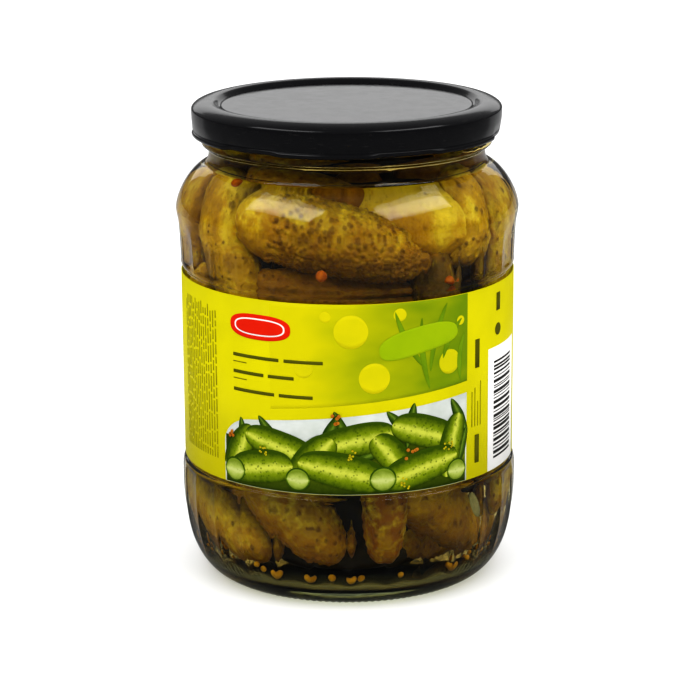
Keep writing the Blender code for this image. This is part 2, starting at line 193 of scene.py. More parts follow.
class ShaderGraph(NodeGraph):
    """The node tree of one material, round its Principled shader."""

    def __init__(self, name: str) -> None:
        """Starts a material of that name."""
        self.material = bpy.data.materials.new(name)
        self.material.use_nodes = True
        super().__init__(self.material.node_tree)
        self.shader = self.tree.nodes["Principled BSDF"]
        self.output = self.tree.nodes["Material Output"]

    def set(self, **values: object) -> None:
        """Sets the Principled shader's inputs, with underscores for spaces in their names."""
        for key, value in values.items():
            self.feed(self.shader.inputs[key.replace("_", " ")], value)

    def place(self) -> Socket:
        """The point in the object's own space, in metres."""
        return self.add("ShaderNodeTexCoord").outputs["Object"]

    def attribute(self, name: str, output: str = "Fac") -> Socket:
        """Reads a mesh attribute by one of the node's outputs."""
        return self.add("ShaderNodeAttribute", attribute_name=name).outputs[output]

    def bump(self, height: Socket, distance: float, strength: float = 1.0) -> None:
        """Adds low relief to the shader's normal: 1 stands that distance high, in metres."""
        node = self.add("ShaderNodeBump")
        node.inputs["Strength"].default_value = strength
        node.inputs["Distance"].default_value = distance
        self.feed(node.inputs["Height"], height)
        self.feed(self.shader.inputs["Normal"], node.outputs["Normal"])

    def let_lamps_through(self, tint: Colour) -> None:
        """Lets light from the lamps pass the surface, as clear glass and brine do.

        Args:
            tint: the colour that the passing light takes.
        """
        path = self.add("ShaderNodeLightPath")
        clear = self.add("ShaderNodeBsdfTransparent")
        clear.inputs["Color"].default_value = rgba(tint)
        mix = self.add("ShaderNodeMixShader")
        self.feed(mix.inputs[0], path.outputs["Is Shadow Ray"])
        self.feed(mix.inputs[1], self.shader.outputs["BSDF"])
        self.feed(mix.inputs[2], clear.outputs["BSDF"])
        self.feed(self.output.inputs["Surface"], mix.outputs["Shader"])

    def coat_paper(self, place: Socket) -> None:
        """Adds the fibre and the soft sheen of coated paper, read at a point."""
        fibre = self.noise(place, FIBRE_SCALE, 2.0)
        self.set(Roughness=self.ranged(fibre, 0.3, 0.7, *PAPER_ROUGHNESS), IOR=PAPER_REFRACTION)
        self.bump(fibre, FIBRE_HEIGHT, 0.4)

    def absorb(self, colour: Colour, density: float) -> None:
        """Fills the shape with something that leaves that colour and takes up that much light in a metre."""
        node = self.add("ShaderNodeVolumeAbsorption")
        node.inputs["Color"].default_value = rgba(colour)
        node.inputs["Density"].default_value = density
        self.feed(self.output.inputs["Volume"], node.outputs["Volume"])


def rgba(colour: object) -> object:
    """A colour with full opacity, or the socket itself."""
    return (*colour, 1.0) if isinstance(colour, tuple) and len(colour) == 3 else colour


@dataclass(frozen=True)
class GlassFinish:
    """Clear container glass: a trace of green, slow waves from the mould, the odd fine seed, and painted
    shade that darkens it near the foot.
    """
    name: str = "jar_glass"
    tint: Colour = (0.97, 0.99, 0.98)
    depth_tint: Colour = (0.45, 0.80, 0.68)
    density: float = 9.0
    refraction: float = 1.5
    mirror: Colour = (0.50, 0.50, 0.50)
    foot_tint: Colour = (0.38, 0.29, 0.08)
    foot_range: Point = (0.0030, 0.0095)
    waves: float = 90.0
    wave_height: float = 0.00022
    specks: float = 1500.0
    speck_range: Point = (0.66, 0.80)
    speck_roughness: float = 0.06

    def material(self) -> bpy.types.Material:
        """Builds the material."""
        graph = ShaderGraph(self.name)
        place = graph.place()
        waves = graph.noise(graph.stretched(place, (1.0, 1.0, 0.4)), self.waves, 2.0)
        speck = graph.noise(place, self.specks, 1.0)
        # Painted shade: the glass is tinted dark brown towards the foot, standing for the shaded floor seen
        # through it.
        near_foot = graph.ranged(graph.part_of(place, "Z"), *self.foot_range, 1.0, 0.0)
        graph.set(Base_Color=graph.blend(near_foot, self.tint, self.foot_tint), Transmission_Weight=1.0,
                  IOR=self.refraction, Specular_Tint=rgba(self.mirror))
        graph.set(Roughness=graph.ranged(speck, *self.speck_range, 0.0, self.speck_roughness))
        graph.bump(waves, self.wave_height, 0.6)
        graph.let_lamps_through(self.tint)
        graph.absorb(self.depth_tint, self.density)
        return graph.material


@dataclass(frozen=True)
class BrineFinish:
    """Spiced vinegar brine: clear, olive, and darker the deeper one looks into it."""
    name: str = "brine"
    colour: Colour = (0.80, 0.64, 0.06)
    density: float = 29.0
    refraction: float = 1.34
    mirror: Colour = (0.08, 0.08, 0.08)
    ripples: float = 60.0
    ripple_height: float = 0.00005

    def material(self) -> bpy.types.Material:
        """Builds the material."""
        graph = ShaderGraph(self.name)
        ripple = graph.noise(graph.place(), self.ripples, 1.0)
        graph.set(Base_Color=rgba(WHITE), Transmission_Weight=1.0, Roughness=0.0,
                  IOR=self.refraction, Specular_Tint=rgba(self.mirror))
        graph.bump(ripple, self.ripple_height, 0.3)
        graph.let_lamps_through(WHITE)
        graph.absorb(self.colour, self.density)
        return graph.material


@dataclass(frozen=True)
class EnamelFinish:
    """Glossy black enamel on thin sheet: faint orange peel, fine scuffs on the rim."""
    name: str = "cap_enamel"
    colour: Colour = (0.007, 0.007, 0.008)
    worn: Colour = (0.020, 0.019, 0.019)
    mirror: Colour = (0.60, 0.60, 0.60)
    refraction: float = 1.50
    roughness: Point = (0.13, 0.17)
    peel: float = 900.0
    peel_height: float = 0.000006
    scuffs: float = 260.0
    scuff_range: Point = (0.58, 0.74)

    def material(self) -> bpy.types.Material:
        """Builds the material."""
        graph = ShaderGraph(self.name)
        place = graph.place()
        peel = graph.noise(place, self.peel, 2.0)
        scuffs = graph.noise(graph.stretched(place, (1.0, 1.0, 6.0)), self.scuffs, 5.0, 0.7)
        mask = graph.ranged(scuffs, *self.scuff_range)
        graph.set(Base_Color=graph.blend(mask, self.colour, self.worn))
        graph.set(Roughness=graph.ranged(scuffs, 0.35, 0.75, *self.roughness), IOR=self.refraction,
                  Specular_Tint=rgba(self.mirror))
        graph.bump(peel, self.peel_height, 0.2)
        return graph.material


@dataclass(frozen=True)
class PaperInk:
    """One printed colour on the coated paper, faintly mottled with a second one."""
    name: str
    colour: Colour
    second: Colour
    mottle: float = 70.0

    def material(self) -> bpy.types.Material:
        """Builds the material."""
        graph = ShaderGraph(self.name)
        place = graph.place()
        cloud = graph.ranged(graph.noise(place, self.mottle, 3.0), 0.30, 0.70)
        graph.set(Base_Color=graph.blend(cloud, self.colour, self.second))
        graph.coat_paper(graph.stretched(place, (1.0, 1.0, 0.5)))
        return graph.material


@dataclass(frozen=True)
class MeadowInk:
    """The blurred green field: yellow light on the left, deep green on the right."""
    name: str = "label_meadow"
    light: Colour = (0.525, 0.480, 0.002)
    leaf: Colour = (0.325, 0.350, 0.003)
    deep: Colour = (0.150, 0.230, 0.004)
    sweep: float = 3.2
    sweep_share: float = 0.7
    start: float = 0.35
    fade: Point = (0.0, 0.30)

    def material(self) -> bpy.types.Material:
        """Builds the material."""
        graph = ShaderGraph(self.name)
        place = graph.attribute("print_place", "Vector")
        across = graph.part_of(place, "X")
        sweep = graph.noise(graph.stretched(place, (1.0, 0.5, 1.0)), self.sweep, 2.0)
        past_start = graph.maths("SUBTRACT", across, self.start)
        shift = graph.maths("MULTIPLY_ADD", sweep, self.sweep_share, past_start)
        shift = graph.maths("MULTIPLY", shift, graph.ranged(across, *self.fade))
        field_colour = graph.ramp(shift, ((0.10, self.light), (0.52, self.leaf), (0.95, self.deep)))
        graph.set(Base_Color=field_colour)
        graph.coat_paper(graph.place())
        return graph.material


@dataclass(frozen=True)
class ProduceInk:
    """Printed vegetables and leaves: a lit middle, dark edges, pale flecks and small dark warts."""
    name: str
    edge: Colour
    body: Colour
    light: Colour
    flecks: float = 0.55
    lit_side: float = 0.12
    patches: float = 700.0
    patchiness: float = 0.55
    dots: float = 900.0
    dot_range: Point = (0.34, 0.16)

    def material(self) -> bpy.types.Material:
        """Builds the material."""
        graph = ShaderGraph(self.name)
        place = graph.attribute("print_place", "Vector")
        off = graph.maths("ABSOLUTE", graph.maths("ADD", graph.part_of(place, "Y"), self.lit_side))
        patchy = graph.noise(graph.place(), self.patches, 4.0, 0.65)
        shade = graph.maths("MULTIPLY_ADD", patchy, self.patchiness, graph.maths("SUBTRACT", off, 0.25))
        body = graph.ramp(shade, ((0.08, self.light), (0.40, self.body), (0.92, self.edge)))
        dots = graph.ranged(graph.cells(graph.place(), self.dots), *self.dot_range, 0.0, self.flecks)
        graph.set(Base_Color=graph.blend(dots, body, self.edge))
        graph.coat_paper(graph.place())
        return graph.material


@dataclass(frozen=True)
class SkinFinish:
    """Pickled gherkin skin: gold to olive by ripeness and by painted light (pale lit tops, dark undersides),
    brown warts with painted shade between them, pale streaks and a wet shine.
    """
    name: str = "gherkin_skin"
    pale: Colour = (0.70, 0.54, 0.03)
    gold: Colour = (0.52, 0.315, 0.002)
    mustard: Colour = (0.32, 0.168, 0.001)
    olive: Colour = (0.120, 0.076, 0.001)
    dark: Colour = (0.040, 0.032, 0.001)
    rust: Colour = (0.27, 0.098, 0.001)
    wart: Colour = (0.105, 0.042, 0.001)
    streak: Colour = (0.56, 0.42, 0.01)
    patches: float = 160.0
    patchiness: float = 1.15
    rust_patches: float = 260.0
    rust_range: Point = (0.25, 0.60)
    streaks: float = 520.0
    streak_stretch: float = 0.10
    streak_range: Point = (0.56, 0.74)
    streak_share: float = 0.35
    speckles: float = 1500.0
    speckle_range: Point = (0.56, 0.72)
    speckle_share: float = 0.45
    valley_share: float = 0.35
    wart_edges: float = 1300.0
    raggedness: float = 0.6
    wart_range: Point = (0.20, 0.78)
    wart_share: float = 0.72
    roughness: Point = (0.36, 0.56)
    refraction: float = 1.26
    glow: float = 0.12
    glow_reach: Colour = (0.0040, 0.0028, 0.0006)
    lumps: float = 420.0
    pebbles: float = 620.0
    pebble_share: float = 1.5
    relief_height: float = 0.00022

    def material(self) -> bpy.types.Material:
        """Builds the material."""
        graph = ShaderGraph(self.name)
        place = graph.attribute("skin_place", "Vector")
        # The tone attribute holds each gherkin's tone plus painted light: lower on the upper side, higher
        # underneath, so lit tops reach the pale end of the scale and undersides the olive and dark end.
        tone = graph.attribute("tone")
        patches = graph.noise(place, self.patches, 4.0, 0.65)
        ripeness = graph.maths("MULTIPLY_ADD", graph.maths("SUBTRACT", patches, 0.5), self.patchiness, tone)
        skin = graph.ramp(ripeness, ((0.0, self.pale), (0.16, self.gold), (0.40, self.mustard),
                                     (0.68, self.olive), (0.96, self.dark)))
        rusty = graph.ranged(graph.noise(place, self.rust_patches, 3.0, 0.6), *self.rust_range)
        skin = graph.blend(graph.maths("MULTIPLY", rusty, graph.attribute("rust")), skin, self.rust)
        along = graph.stretched(place, (1.0, 1.0, self.streak_stretch))
        streaks = graph.noise(along, self.streaks, 3.0, 0.6)
        streaked = graph.ranged(streaks, *self.streak_range, 0.0, self.streak_share)
        skin = graph.blend(streaked, skin, self.streak)
        speckle = graph.noise(place, self.speckles, 3.0, 0.7)
        speckled = graph.ranged(speckle, *self.speckle_range, 0.0, self.speckle_share)
        skin = graph.blend(speckled, skin, self.olive)
        # Painted shade: the low ground between the warts is darkened towards olive.
        valleys = graph.maths("MULTIPLY", graph.attribute("valley"), self.valley_share)
        skin = graph.blend(valleys, skin, self.olive)
        ragged = graph.maths("SUBTRACT", graph.noise(place, self.wart_edges, 2.0), 0.5)
        uneven = graph.maths("MULTIPLY_ADD", ragged, self.raggedness, graph.attribute("wart"))
        warts = graph.ranged(uneven, *self.wart_range, 0.0, self.wart_share)
        graph.set(Base_Color=graph.blend(warts, skin, self.wart))
        graph.set(Roughness=graph.ranged(speckle, 0.30, 0.70, *self.roughness), IOR=self.refraction)
        graph.set(Subsurface_Weight=self.glow, Subsurface_Radius=self.glow_reach, Subsurface_Scale=0.5)
        pebbles = graph.ranged(graph.cells(place, self.pebbles, "SMOOTH_F1"), 0.10, 0.60, 1.0, 0.0)
        relief = graph.maths("ADD", speckle, graph.noise(place, self.lumps, 2.0))
        relief = graph.maths("MULTIPLY_ADD", pebbles, self.pebble_share, relief)
        graph.bump(relief, self.relief_height, 0.8)
        return graph.material


@dataclass(frozen=True)
class SpiceFinish:
    """Seeds, berries and slices: two colours in soft patches over a matt, slightly wet surface."""
    name: str
    colour: Colour
    second: Colour
    roughness: float = 0.4
    refraction: float = 1.14
    patches: float = 700.0
    grain: float = 5000.0
    grain_height: float = 0.00005

    def material(self) -> bpy.types.Material:
        """Builds the material."""
        graph = ShaderGraph(self.name)
        place = graph.place()
        patches = graph.noise(place, self.patches, 3.0)
        grain = graph.noise(place, self.grain, 2.0)
        graph.set(Base_Color=graph.blend(graph.ranged(patches, 0.35, 0.65), self.colour, self.second))
        wetness = graph.ranged(grain, 0.3, 0.7, self.roughness - 0.1, self.roughness + 0.1)
        graph.set(Roughness=wetness, IOR=self.refraction)
        graph.bump(grain, self.grain_height, 0.5)
        return graph.material


def mesh_object(name: str, points: Array, faces: Sequence[Sequence[int]], material: bpy.types.Material,
                attributes: dict[str, Array] | None = None) -> bpy.types.Object:
    """Makes a smooth shaded mesh object.

    Args:
        name: the piece's name.
        points: its corners, one row each.
        faces: the corners of each face.
        material: its material.
        attributes: one value or vector for each corner, by attribute name.

    Returns:
        The object, linked to the scene.
    """
    mesh = bpy.data.meshes.new(name)
    mesh.from_pydata(points.tolist(), [], faces)
    for key, values in (attributes or {}).items():
        kind, field_name = ("FLOAT", "value") if values.ndim == 1 else ("FLOAT_VECTOR", "vector")
        attribute = mesh.attributes.new(key, kind, "POINT")
        attribute.data.foreach_set(field_name, values.astype(np.float32).ravel())
    mesh.materials.append(material)
    mesh.shade_smooth()
    mesh.update()
    obj = bpy.data.objects.new(name, mesh)
    bpy.context.scene.collection.objects.link(obj)
    return obj


def dress(piece: bpy.types.Object, part: Part, replaces: bool = False) -> None:
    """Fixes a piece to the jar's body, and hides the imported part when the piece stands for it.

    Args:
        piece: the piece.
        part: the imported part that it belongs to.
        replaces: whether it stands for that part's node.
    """
    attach(piece, BODY)
    if replaces:
        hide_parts(part.node)
    log.info("%s: %d faces", piece.name, len(piece.data.polygons))


def grid_faces(rows: int, columns: int, wrap: bool, first: int = 0) -> list[tuple[int, int, int, int]]:
    """Quads of a grid of points that is stored row by row.

    Args:
        rows: how many rows of points there are.
        columns: how many points a row has.
        wrap: whether each row closes on itself.
        first: the index of the grid's first point.

    Returns:
        The quads.
    """
    faces = []
    for row in range(rows - 1):
        for column in range(columns if wrap else columns - 1):
            after = (column + 1) % columns
            here, there = first + row * columns, first + (row + 1) * columns
            faces.append((here + column, here + after, there + after, there + column))
    return faces


def capped_rings(rows: int, sides: int, first: int = 0) -> list[tuple[int, ...]]:
    """Faces of a closed body: rings of points that are stored row by row, then one point at each end.

    Args:
        rows: how many rings there are.
        sides: how many points a ring has.
        first: the index of the body's first point.

    Returns:
        The faces.
    """
    last, start = first + (rows - 1) * sides, first + rows * sides
    faces: list[tuple[int, ...]] = [face[::-1] for face in grid_faces(rows, sides, True, first)]
    faces += [(start, first + k, first + (k + 1) % sides) for k in range(sides)]
    return faces + [(start + 1, last + (k + 1) % sides, last + k) for k in range(sides)]


Relief = Callable[[Array, Array, Array], tuple[Array, Array]]


def turned_object(name: str, profile: Sequence[Point], steps: int, material: bpy.types.Material,
                  relief: Relief | None = None) -> bpy.types.Object:
    """Turns a profile that starts and ends on the axis into a closed body.

    Args:
        name: the piece's name.
        profile: (radius, height) points, down the outer side and back inside.
        steps: how many steps make the turn.
        material: its material.
        relief: changes radius and height by (radius, height, angle from the front), point by point.

    Returns:
        The object.
    """
    inner = np.array(profile[1:-1])
    angles = np.arange(steps) / steps * math.tau
    angle = np.broadcast_to(angles, (len(inner), steps))
    radius = np.repeat(inner[:, :1], steps, axis=1)
    height = np.repeat(inner[:, 1:], steps, axis=1)
    if relief:
        radius, height = relief(radius, height, angle)
    rings = np.stack([radius * np.sin(angle), -radius * np.cos(angle), height], axis=2).reshape(-1, 3)
    ends = np.array([[0.0, 0.0, profile[0][1]], [0.0, 0.0, profile[-1][1]]])
    return mesh_object(name, np.concatenate([rings, ends]), capped_rings(len(inner), steps), material)


def rounded(start: Point, end: Point, power: float, count: int) -> list[Point]:
    """Points of a rounded quarter from upright at the start to level at the end.

    Args:
        start: where the side is upright.
        end: where it is level.
        power: 2 for an ellipse, more for a squarer corner.
        count: how many steps it has.

    Returns:
        The (radius, height) points.
    """
    exponent = 2.0 / power
    turns = [math.pi / 2 * k / count for k in range(count + 1)]
    return [(end[0] + (start[0] - end[0]) * max(math.cos(t), 0.0) ** exponent,
             start[1] + (end[1] - start[1]) * math.sin(t) ** exponent) for t in turns]


def eased(points: Sequence[Point], count: int) -> list[Point]:
    """A smooth curve through the points.

    Args:
        points: the (radius, height) points that it passes.
        count: how many steps it has between two of them.

    Returns:
        The curve's points, both ends included.
    """
    corners = [Vector(p) for p in points]
    padded = [2 * corners[0] - corners[1], *corners, 2 * corners[-1] - corners[-2]]
    curve = []
    for before, first, second, after in zip(padded, padded[1:], padded[2:], padded[3:]):
        for k in range(count):
            t = k / count
            bend = 2 * before - 5 * first + 4 * second - after
            twist = 3 * first - before - 3 * second + after
            spot = 0.5 * (2 * first + (second - before) * t + bend * t * t + twist * t ** 3)
            curve.append((spot.x, spot.y))
    return curve + [tuple(points[-1])]


def smooth_window(height: Array, low: float, full_low: float, full_high: float, high: Array | float) -> Array:
    """How far a flute is cut at a height: fades in, holds and fades out.

    Args:
        height: the height.
        low: where the cut starts.
        full_low: where it has its whole depth.
        full_high: where that ends.
        high: where the cut ends.

    Returns:
        The share of the depth, from 0 to 1.
    """
    rise = np.clip((height - low) / (full_low - low), 0.0, 1.0)
    fall = np.clip((high - height) / (high - full_high), 0.0, 1.0)
    both = np.minimum(rise, fall)
    return both * both * (3 - 2 * both)


@dataclass
class GlassJar:
    """The jar: finish and bead at the neck, round shoulder, two fluted bands, label recess, heel and punt."""
    finish: GlassFinish = field(default_factory=GlassFinish)
    steps: int = 448
    lip_height: float = 0.1334
    finish_radius: float = 0.0398
    bead_radius: float = 0.0402
    bead_height: float = 0.1232
    bead_swell: float = 0.0012
    neck_radius: float = 0.0384
    neck_foot: float = 0.1186
    shoulder_radius: float = 0.0478
    shoulder_foot: float = 0.1047
    shoulder_top: float = 0.1170
    shoulder_power: float = 1.55
    panel_radius: float = 0.04615
    panel_top: float = 0.0884
    panel_foot: float = 0.0334
    band_step: float = 0.0009
    upper_band_radius: float = 0.0466
    lower_band_radius: float = 0.0474
    heel_top: float = 0.0262
    heel_power: float = 2.15
    ring_radius: float = 0.0352
    ring_width: float = 0.0026
    punt_height: float = 0.0026
    wall: float = 0.0023
    bore_radius: float = 0.0362
    floor_height: float = 0.0052
    floor_radius: float = 0.0310
    inner_heel_top: float = 0.0205
    flutes: int = 28
    flute_depth: float = 0.0006
    lower_flute: Numbers = (0.0070, 0.0125, 0.0310, 0.0328)
    upper_flute: Numbers = (0.0896, 0.0912, 0.0975, 0.1010)
    arch_height: float = 0.0030
    arch_power: float = 0.6
    hollow_power: float = 0.75
    knurls: int = 132
    knurl_depth: float = 0.00022
    knurl_height: float = 0.0016
    knurl_inset: float = 0.0004
    knurl_width: float = 0.0045

    def inside(self, gap: float = 0.0) -> list[Point]:
        """The inner wall from the lip down to the middle of the floor.

        Args:
            gap: how far into the glass the wall is moved.

        Returns:
            The (radius, height) points.
        """
        wall_radius = self.panel_radius - self.wall + gap
        shoulder = rounded((self.shoulder_radius - self.wall + gap, self.shoulder_foot),
                           (self.bore_radius + gap, self.shoulder_top), self.shoulder_power, 14)
        heel = rounded((wall_radius, self.inner_heel_top), (self.floor_radius, self.floor_height - gap),
                       2.0, 14)
        return shoulder[::-1] + [(wall_radius, self.panel_top)] + heel + [(0.0, self.floor_height - gap)]

    def outside(self) -> list[Point]:
        """The outer wall from the finish down to the standing ring."""
        finish = [(self.finish_radius, self.lip_height - 0.0010),
                  (self.finish_radius, self.bead_height + 1.3 * self.bead_swell)]
        bead = eased([(self.finish_radius, self.bead_height + 1.2 * self.bead_swell),
                      (self.bead_radius, self.bead_height + self.bead_swell / 2),
                      (self.bead_radius, self.bead_height - self.bead_swell / 2),
                      (self.neck_radius + 0.0004, self.bead_height - 1.2 * self.bead_swell),
                      (self.neck_radius, self.neck_foot + 0.0020),
                      (self.neck_radius + 0.0002, self.neck_foot),
                      (self.neck_radius + 0.0011, self.shoulder_top - 0.0003)], 6)
        shoulder = rounded((self.shoulder_radius, self.shoulder_foot),
                           (self.neck_radius + 0.0008, self.shoulder_top), self.shoulder_power, 30)[::-1]
        middle = (self.shoulder_foot + self.panel_top) / 2
        upper = eased([(self.shoulder_radius, self.shoulder_foot),
                       (self.shoulder_radius - 0.0004, self.shoulder_foot - 0.0035),
                       ((self.shoulder_radius + self.upper_band_radius) / 2 - 0.0002, middle),
                       (self.upper_band_radius + 0.0002, self.upper_flute[1]),
                       (self.upper_band_radius, self.panel_top + self.band_step),
                       (self.panel_radius, self.panel_top)], 7)
        lower = eased([(self.panel_radius, self.panel_foot),
                       (self.lower_band_radius - 0.0004, self.panel_foot - self.band_step),
                       (self.lower_band_radius, self.lower_flute[2] - self.band_step),
                       (self.lower_band_radius, self.heel_top)], 6)
        heel = rounded((self.lower_band_radius, self.heel_top), (self.ring_radius, 0.0), self.heel_power, 36)
        return finish + bead[:-1] + shoulder[2:-1] + upper + lower[:-1] + heel

    def profile(self) -> list[Point]:
        """The whole cross-section, from the middle of the underside, up the outside and down the inside."""
        lip = [(self.bore_radius, self.lip_height - 0.0008),
               (self.bore_radius + 0.0003, self.lip_height - 0.0002),
               (self.bore_radius + 0.0010, self.lip_height),
               (self.finish_radius - 0.0011, self.lip_height),
               (self.finish_radius - 0.0003, self.lip_height - 0.0004)]
        under = rounded((self.ring_radius - self.ring_width, 0.0), (0.0, self.punt_height), 3.2, 12)
        return self.inside()[::-1] + lip + self.outside() + under

    def relief(self, radius: Array, height: Array, angle: Array) -> tuple[Array, Array]:
        """Cuts the flutes and the knurls of the standing ring into the outer wall.

        Args:
            radius: each point's radius.
            height: its height.
            angle: its angle from the front.

        Returns:
            The new radii and heights.
        """
        outside = radius > self.panel_radius - self.wall + 0.00005
        phase = np.abs(np.sin(self.flutes * angle / 2))
        lower = smooth_window(height, *self.lower_flute)
        upper = smooth_window(height, *self.upper_flute[:3],
                              self.upper_flute[3] + self.arch_height * phase ** self.arch_power)
        cut = self.flute_depth * phase ** self.hollow_power * np.maximum(lower, upper)
        from_ring = radius - self.ring_radius
        foot = (height < self.knurl_height) & (from_ring > -self.knurl_inset) & (from_ring < self.knurl_width)
        knurl = self.knurl_depth * (0.5 + 0.5 * np.cos(self.knurls * angle))
        return np.where(outside, radius - cut, radius), np.where(foot, height + knurl, height)

    def build(self) -> bpy.types.Object:
        """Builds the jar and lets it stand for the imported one."""
        jar = turned_object("glass_jar", self.profile(), self.steps, self.finish.material(), self.relief)
        dress(jar, Part.JAR, replaces=True)
        return jar


@dataclass
class Brine:
    """The brine: it fills the jar up to the neck and reaches just into the glass."""
    jar: GlassJar
    finish: BrineFinish = field(default_factory=BrineFinish)
    steps: int = 224
    overlap: float = 0.0003
    level: float = 0.1262
    meniscus: float = 0.0009

    def build(self) -> bpy.types.Object:
        """Builds the brine inside the jar."""
        radius = self.jar.bore_radius + self.overlap
        surface = [(0.0, self.level), (radius - 3 * self.meniscus, self.level),
                   (radius - self.meniscus, self.level + self.meniscus / 3),
                   (radius, self.level + self.meniscus)]
        body = turned_object("brine_fill", surface + self.jar.inside(self.overlap), self.steps,
                             self.finish.material())
        dress(body, Part.HEAP)
        return body


@dataclass
class TwistCap:
    """The cap: sunk panel, groove, raised rim, skirt, and a curled foot that is pinched in at each lug."""
    finish: EnamelFinish = field(default_factory=EnamelFinish)
    steps: int = 288
    radius: float = 0.0430
    height: float = 0.13425
    foot: float = 0.1250
    sheet: float = 0.0004
    corner: float = 0.0022
    shoulder_width: float = 0.0052
    panel_radius: float = 0.0330
    panel_drop: float = 0.0012
    groove_radius: float = 0.0352
    rim_radius: float = 0.0372
    curl: float = 0.0008
    lugs: int = 6
    lug_azimuth: float = -38.0
    lug_half_angle: float = 9.0
    lug_pinch: float = 0.0007
    lug_lift: float = 0.0003
    groove_depth: float = 0.0003

    def profile(self) -> list[Point]:
        """The cross-section: over the top from the middle out, down the skirt, round the curl and back."""
        panel = self.height - self.panel_drop
        groove = panel - self.groove_depth
        top = eased([(0.0, panel), (self.panel_radius - 0.0006, panel),
                     (self.panel_radius + 0.0002, panel - 0.00005), (self.groove_radius, groove),
                     (self.rim_radius - 0.0007, self.height - self.groove_depth),
                     (self.radius - self.shoulder_width, self.height)], 6)
        corner = rounded((self.radius, self.height - self.corner),
                         (self.radius - self.shoulder_width, self.height), 2.0, 16)
        skirt = [(self.radius - 0.00008, self.height - 0.5 * (self.height - self.foot)),
                 (self.radius - 0.00025, self.foot + 2.5 * self.curl)]
        turns = [math.radians(70 - 14 * k) for k in range(22)]
        curl = [(self.radius - self.curl + self.curl * math.cos(t), self.foot + self.curl * (1 + math.sin(t)))
                for t in turns]
        inner = self.radius - self.curl
        under = [(inner - self.sheet / 2, self.foot + 3 * self.curl),
                 (inner, self.height - self.corner - self.sheet),
                 (inner - self.corner, self.height - self.sheet),
                 (self.rim_radius + self.sheet / 2, self.height - self.sheet),
                 (self.groove_radius, groove - self.sheet), (self.panel_radius, panel - self.sheet),
                 (0.0, panel - self.sheet)]
        return top[:-1] + corner[::-1] + skirt + curl + under

    def relief(self, radius: Array, height: Array, angle: Array) -> tuple[Array, Array]:
        """Pinches the curled foot in at each lug, and lifts it a little there.

        Args:
            radius: each point's radius.
            height: its height.
            angle: its angle from the front.

        Returns:
            The new radii and heights.
        """
        pitch = 360.0 / self.lugs
        off = np.abs((np.degrees(angle) - self.lug_azimuth + pitch / 2) % pitch - pitch / 2)
        near = np.clip(1.5 - off / self.lug_half_angle, 0.0, 0.5) * 2
        near = near * near * (3 - 2 * near)
        low = np.clip((self.foot + 3.2 * self.curl - height) / (2.2 * self.curl), 0.0, 1.0)
        return radius - self.lug_pinch * near * low, height + self.lug_lift * near * low

    def build(self) -> bpy.types.Object:
        """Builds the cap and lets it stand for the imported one."""
        cap = turned_object("enamel_cap", self.profile(), self.steps, self.finish.material(), self.relief)
        dress(cap, Part.CAP, replaces=True)
        return cap


@dataclass(frozen=True)
class Patch:
    """A flat printed shape in its own plane: half widths along a middle line, then turned and placed."""
    low: Callable[[Array], Array]
    high: Callable[[Array], Array]
    length: float
    along: float
    height: float
    turn: float = 0.0
    columns: int = 40
    rows: int = 6
    lift: int = 0


Edges = tuple[Callable[[Array], Array], Callable[[Array], Array]]


def ellipse(width: float) -> Edges:
    """Lower and upper edge of an ellipse of that width over the unit length."""
    def half(share: Array) -> Array:
        """Half the width at each share of the length."""
        return width / 2 * np.sqrt(np.clip(1 - (2 * share - 1) ** 2, 0.0, None))
    return lambda share: -half(share), half


def blunt(width: float, power: float, bend: float = 0.0, taper: float = 0.0) -> Edges:
    """Lower and upper edge of a blunt ended shape over the unit length.

    Args:
        width: how wide it is.
        power: how blunt its ends are.
        bend: how far its middle stands off the line between its ends.
        taper: how much wider its first end is.

    Returns:
        The two edges.
    """
    def half(share: Array) -> Array:
        """Half the width at each share of the length."""
        level = 2 * share - 1
        return width / 2 * np.clip(1 - np.abs(level) ** power, 0.0, None) ** (1 / power) * (1 - taper * level)

    def arch(share: Array) -> Array:
        """How far the middle line stands off at each share of the length."""
        return bend * (1 - (2 * share - 1) ** 2)
    return lambda share: arch(share) - half(share), lambda share: arch(share) + half(share)


def plain(low: float, high: float) -> Edges:
    """Lower and upper edge of an upright strip."""
    return lambda share: np.full_like(share, low), lambda share: np.full_like(share, high)


